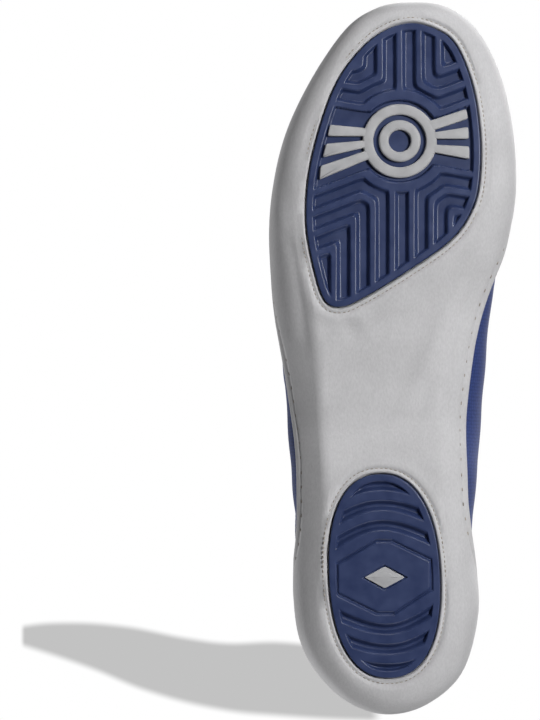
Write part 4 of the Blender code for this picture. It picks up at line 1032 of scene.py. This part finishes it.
def tongue_sheet(name, frames, widths, drops, thick, material, nodes, body, ripple=0.0):
    """A padded sheet across a row of throat frames; drops say how far it lies under the throat's crown."""
    r = np.linspace(-1, 1, 41)
    centre, normal, edge = [], [], []
    for i, (middle, across, out, along, half) in enumerate(frames):
        d = r * widths[i]
        height = crown(d, half) - drops[i]
        centre.append(middle + across * d[:, None] + out * height[:, None])
        tilt = d / THROAT_RADIUS
        normal.append(out * np.sqrt(1 - tilt**2)[:, None] + across * tilt[:, None])
        edge.append(widths[i] - np.abs(d))
    centre, normal, edge = np.array(centre), np.array(normal), np.array(edge)
    run = run_along(centre[:, 20])
    edge = np.minimum(edge, np.minimum(run, run[-1] - run)[:, None])
    if ripple:
        centre = centre + normal * (ripple * np.sin(run / 4.2)[:, None] * smooth_step(edge / 5))[..., None]
    points, faces = solid_sheet(centre, normal, edge, thick)
    return piece(name, points, faces, material, nodes, body)


def make_tongue():
    shares = np.linspace(THROAT_SHARES[1], THROAT_SHARES[0], 70)
    frames = [throat_at(s) for s in shares]
    first = frames[0]
    lead = [(first[0] - first[3] * d - first[2] * d * 0.12, *first[1:]) for d in (12.0, 9.0, 6.0, 3.0)]
    frames = lead + frames
    widths = np.array([f[4] + 3.2 for f in frames])
    widths[:4] -= np.array([3.0, 2.0, 1.2, 0.5])
    drops = np.full(len(frames), TONGUE_DROP + 2.0)
    lower = tongue_sheet("tongue_look", frames, widths, drops, 3.6, LINING, ["tongue"], "boot", 0.25)
    top = frames[-1]
    steps = np.concatenate([np.linspace(0.1, 34, 36), np.linspace(34.5, 37.6, 14), [37.8, 37.9]])
    flap_frames = [(top[0] + top[3] * s, *top[1:]) for s in steps]
    share = steps / 38.0
    rounded_top = (1 - np.clip((share - 0.5) / 0.5, 0, 0.995) ** 3.4) ** 0.4
    widths = (15.0 + 4.6 * smooth_step(share * 1.7)) * rounded_top
    flap = tongue_sheet("tongue_flap_look", flap_frames, widths, np.full(len(steps), TONGUE_DROP + 2.0), 3.8,
                        LINING, ["tongue_flap"], None, 0.2)
    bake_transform(flap)


LACE_HALF = (2.0, 0.75)  # half its width and half its thickness
LACE_TURN = 4.6  # how far past an eyelet the lace lies flat again


def lace_path(side):
    """Points of one half of the lace from the bottom row up, ending under the keeper."""
    frames = {s: eyelet_frames(s) for s in (1, -1)}
    shares = np.linspace(EYELET_SHARES[1], EYELET_SHARES[0], EYELET_ROWS)
    points = []
    for row in range(EYELET_ROWS):
        here = side if row % 2 == 0 else -side
        place, way = frames[here][0][row], frames[here][1][row]
        middle, across, out, along, half = throat_at(shares[row])
        edge = middle + across * here * (half - 1.0) + out * -3.2
        if row == 0:
            points.append(middle + out * (crown(0, half) - 3.6))
        points += [edge, place - way * 2.4, place + way * 0.6, place + way * 3.0]
        if row < EYELET_ROWS - 1:
            middle, across, out, along, half = throat_at((shares[row] + shares[row + 1]) / 2)
            height = -1.6 if (here > 0) == (row % 2 == 0) else 0.7
            crossing = middle + out * (crown(0, half) + height)
        else:
            middle, across, out, along, half = throat_at(KEEPER_SHARE)
            crossing = middle + across * here * 8.8 + out * crown(0, half)
        toward = crossing - points[-1]
        toward -= way * toward.dot(way)
        points += [points[-1] + unit(toward) * LACE_TURN - way * 0.2, crossing]
    points.append(crossing - across * here * 1.5)
    return points


def make_lace():
    """A flat braided lace, swept along its path with its broad side to the tongue."""
    points = np.array(lace_path(-1)[::-1] + lace_path(1)[1:])
    run = run_along(points)
    where = np.arange(0, run[-1], 0.9)
    line = spline(np.column_stack([run, points]), where)
    way = unit(np.gradient(line, axis=0))
    # Its broad side faces away from a line inside the boot, which is lower over the toes
    inside = line * 0 + [-0.7, 0.0, 60.0]
    inside[:, 1] = spline([(-60, 40), (-20, 20), (30, 70)], line[:, 1])[:, 0]
    out = line - inside
    out = unit(out - way * np.sum(out * way, axis=1)[:, None])
    side = np.cross(way, out)
    rings = []
    for turn in np.linspace(0, 2 * math.pi, 12, endpoint=False):
        weave = 0.08 * np.sin(where * 4.1 + turn * 3)
        rings.append(line + side * (math.cos(turn) * (LACE_HALF[0] + weave))[:, None]
                     + out * (math.sin(turn) * (LACE_HALF[1] + weave))[:, None])
    faces = [*ring_faces(len(line), 12), range(12), range(12 * len(line) - 12, 12 * len(line))]
    piece("lace_look", np.stack(rings, axis=1).reshape(-1, 3), faces, LACE, ["lace"])


def make_keeper():
    middle, across, out, along, half = throat_at(KEEPER_SHARE)
    base = middle + out * crown(0, half)
    run = np.linspace(0, math.pi, 24)
    profile = np.column_stack([-np.cos(run) * 6.2, np.sin(run) ** 0.5 * 7.6 - 5.9])
    rows = np.linspace(-7, 7, 20)
    centre = base + across * rows[:, None, None] + along * profile[None, :, :1] + out * profile[None, :, 1:]
    slopes = np.gradient(profile, axis=0)
    turned = unit(np.column_stack([-slopes[:, 1], slopes[:, 0]]))
    normal = (along * turned[:, :1] + out * turned[:, 1:])[None] * np.ones((20, 1, 1))
    edge = (7 - np.abs(rows))[:, None] * np.ones((1, 24))
    points, faces = solid_sheet(centre, normal, edge, 1.0)
    piece("lace_keeper_look", points, faces, BLUE_LEATHER, ["lace_keeper"])


TAB_SHARE, TAB_FOOT, TAB_RISE = 0.0115, 24.0, 13.0  # half its width, its sewn part and its free part


def make_pull_tab():
    shares = steps_with_edges(-TAB_SHARE, TAB_SHARE, 12, 1.6 / PERIMETER)
    rows = steps_with_edges(-TAB_FOOT, 0.0, 22, 0.8)[:-5]
    middle, normal = surface(shares, total_lengths(shares)[:, None] + rows[None])
    rise = unit(middle[:, -1] - middle[:, -2])
    more = np.concatenate([np.linspace(1, TAB_RISE - 1, 12), TAB_RISE - np.array([0.5, 0.2, 0.0])])
    middle = np.concatenate([middle, middle[:, -1:] + rise[:, None] * more[None, :, None]], axis=1)
    normal = np.concatenate([normal, np.repeat(normal[:, -1:], len(more), axis=1)], axis=1)
    run = np.concatenate([rows, rows[-1] + more]) + TAB_FOOT
    along = (shares - shares[0]) * PERIMETER
    edge = np.minimum(np.minimum(along, along[-1] - along)[:, None], np.minimum(run, run[-1] - run)[None])
    points, faces = solid_sheet(middle + normal * 1.6, normal, edge, 1.7)
    piece("pull_tab_look", points, faces, BLUE_LEATHER, ["pull_tab"], "tab")


# ---------------------------------------------------------------- stage, light and camera

# Each light's name, place, aim, size and power: three under the boot for the sole, two over it for the upper
LIGHTS = [
    ("sole_key", (0.6, -0.24, -0.98), (0, 0, 0.01), 0.18, 12.0),
    ("toe_light", (0.0, -1.0, -0.35), (0, -0.05, 0.02), 0.4, 3.1),
    ("heel_bounce", (0.15, 0.9, -0.25), (0, 0.1, 0.02), 0.5, 1.7),
    ("top_key", (0.7, -0.8, 1.1), (0, 0, 0.08), 0.7, 22.0),
    ("top_fill", (-0.9, 0.7, 0.8), (0, 0, 0.08), 0.9, 16.0),
]
# Edges of the shadow: (place from the far end to past the heel, slope down the boot), both in shares of spans
SHADOW_SPAN, SLOPE_SPAN = (-0.09, 0.06), 0.15
UPPER_EDGE = [(0.0, 0.602), (0.06, 0.589), (0.13, 0.583), (0.27, 0.59), (0.42, 0.618), (0.5, 0.628),
              (0.62, 0.626), (0.75, 0.64), (1.0, 0.66)]
LOWER_EDGE = [(0.0, 0.62), (0.06, 0.637), (0.2, 0.684), (0.33, 0.736), (0.5, 0.778), (0.62, 0.79),
              (0.8, 0.8), (1.0, 0.8)]


def area_light(name, place, aim, size, power):
    data = bpy.data.lights.new(name, "AREA")
    data.shape, data.size, data.energy = "DISK", size, power
    made = bpy.data.objects.new(name, data)
    made.location = place
    made.rotation_mode = "QUATERNION"
    made.rotation_quaternion = (Vector(aim) - Vector(place)).to_track_quat("-Z", "Y")
    bpy.context.scene.collection.objects.link(made)


def maths(tree, operation, a, b):
    made = node(tree, "Math")
    made.operation = operation
    put(tree, made.inputs[0], a)
    put(tree, made.inputs[1], b)
    return made.outputs[0]


def smooth_range(tree, value, low, high):
    """0 below low, 1 above high, smooth between them."""
    made = node(tree, "MapRange", value=value, from_min=low, from_max=high)
    made.interpolation_type = "SMOOTHSTEP"
    return made.outputs["Result"]


def edge_curve(tree, value, keys):
    """The slope of one edge of the shadow at a place along it."""
    made = node(tree, "FloatCurve", value=value)
    points = made.mapping.curves[0].points
    points[0].location, points[1].location = keys[0], keys[-1]
    for key in keys[1:-1]:
        points.new(*key)
    made.mapping.update()
    return maths(tree, "MULTIPLY", made.outputs[0], SLOPE_SPAN)


def mix_shaders(tree, share, first, second):
    made = node(tree, "MixShader", fac=share)
    put(tree, made.inputs[1], first.outputs[0])
    put(tree, made.inputs[2], second.outputs[0])
    return made


def ground_shadow(tree):
    """How dark the white studio is overhead, beside the heel: a long soft shadow running out from it."""
    x, y, z = node(tree, "SeparateXYZ", vector=node(tree, "TexCoord").outputs["Generated"]).outputs
    up = maths(tree, "MAXIMUM", z, 0.001)
    u, v = maths(tree, "DIVIDE", x, up), maths(tree, "DIVIDE", y, up)
    low, high = SHADOW_SPAN
    place = node(tree, "MapRange", value=u, from_min=low, from_max=high).outputs["Result"]
    below = maths(tree, "SUBTRACT", v, edge_curve(tree, place, UPPER_EDGE))
    above = maths(tree, "SUBTRACT", edge_curve(tree, place, LOWER_EDGE), v)
    shade = smooth_range(tree, z, 0.9, 0.95)
    for part in (smooth_range(tree, below, -0.0012, 0.0016), smooth_range(tree, above, -0.0016, 0.0016),
                 smooth_range(tree, u, -0.0835, -0.0815),
                 maths(tree, "SUBTRACT", 1.0, smooth_range(tree, u, 0.033, 0.038))):
        shade = maths(tree, "MULTIPLY", shade, part)
    return shade


def make_stage():
    world = bpy.data.worlds.new("white_studio")
    bpy.context.scene.world = world
    world.use_nodes = True
    tree = world.node_tree
    tree.nodes.clear()
    shade = ramp(tree, ground_shadow(tree), 0.0, 1.0, (1.0, 1.0, 1.0), (0.54, 0.54, 0.54))
    seen = node(tree, "Background", color=shade)
    lighting = node(tree, "Background", color=(0.94, 0.96, 1.0, 1), strength=0.06)
    both = mix_shaders(tree, node(tree, "LightPath").outputs["Is Camera Ray"], lighting, seen)
    node(tree, "OutputWorld", surface=both.outputs[0])
    for light in LIGHTS:
        area_light(*light)


def make_floor():
    """A floor that only a camera above it sees, so that it never hides or shades the sole."""
    mesh = bpy.data.meshes.new("floor")
    reach = 12.0
    corners = [(x * reach, y * reach, 0) for x, y in ((-1, -1), (1, -1), (1, 1), (-1, 1))]
    mesh.from_pydata(corners, [], [(0, 1, 2, 3)])
    floor = bpy.data.objects.new("floor", mesh)
    floor.location.z = -0.0002
    bpy.context.scene.collection.objects.link(floor)
    material = bpy.data.materials.new("floor_look")
    material.use_nodes = True
    tree = material.node_tree
    tree.nodes.clear()
    # The lit floor round the boot runs out into the white studio
    place = node(tree, "VectorMath")
    place.operation = "LENGTH"
    put(tree, place.inputs[0], node(tree, "TexCoord").outputs["Object"])
    far = smooth_range(tree, place.outputs["Value"], 0.18, 0.6)
    lit = node(tree, "BsdfDiffuse", color=(0.85, 0.85, 0.85, 1))
    face = mix_shaders(tree, far, lit, node(tree, "Emission"))
    back = node(tree, "NewGeometry").outputs["Backfacing"]
    both = mix_shaders(tree, back, face, node(tree, "BsdfTransparent"))
    node(tree, "OutputMaterial", surface=both.outputs[0])
    mesh.materials.append(material)
    floor.visible_shadow = False
    floor.visible_diffuse = False
    floor.visible_glossy = False


def make_camera():
    """Straight below the sole, the toe up in the picture, the boot a little right of its middle."""
    data = bpy.data.cameras.new("camera")
    data.lens, data.sensor_width = 150.0, 36.0
    camera = bpy.data.objects.new("camera", data)
    picture_height, level = 0.2896, 0.012
    reach = picture_height / 2 / (data.sensor_width / 2 / data.lens)
    camera.matrix_world = Matrix(((1, 0, 0, -0.0493), (0, -1, 0, 0.0008), (0, 0, -1, level - reach),
                                  (0, 0, 0, 1)))
    data.clip_start, data.clip_end = 0.1, 20.0
    bpy.context.scene.collection.objects.link(camera)
    bpy.context.scene.camera = camera


make_wrap()
window_seams()
edge_seams()
make_tread()
make_inside()
make_upper()
make_eyelets()
make_tongue()
make_lace()
make_keeper()
make_pull_tab()
make_floor()
make_stage()
make_camera()
bpy.context.scene.view_settings.view_transform = "Standard"
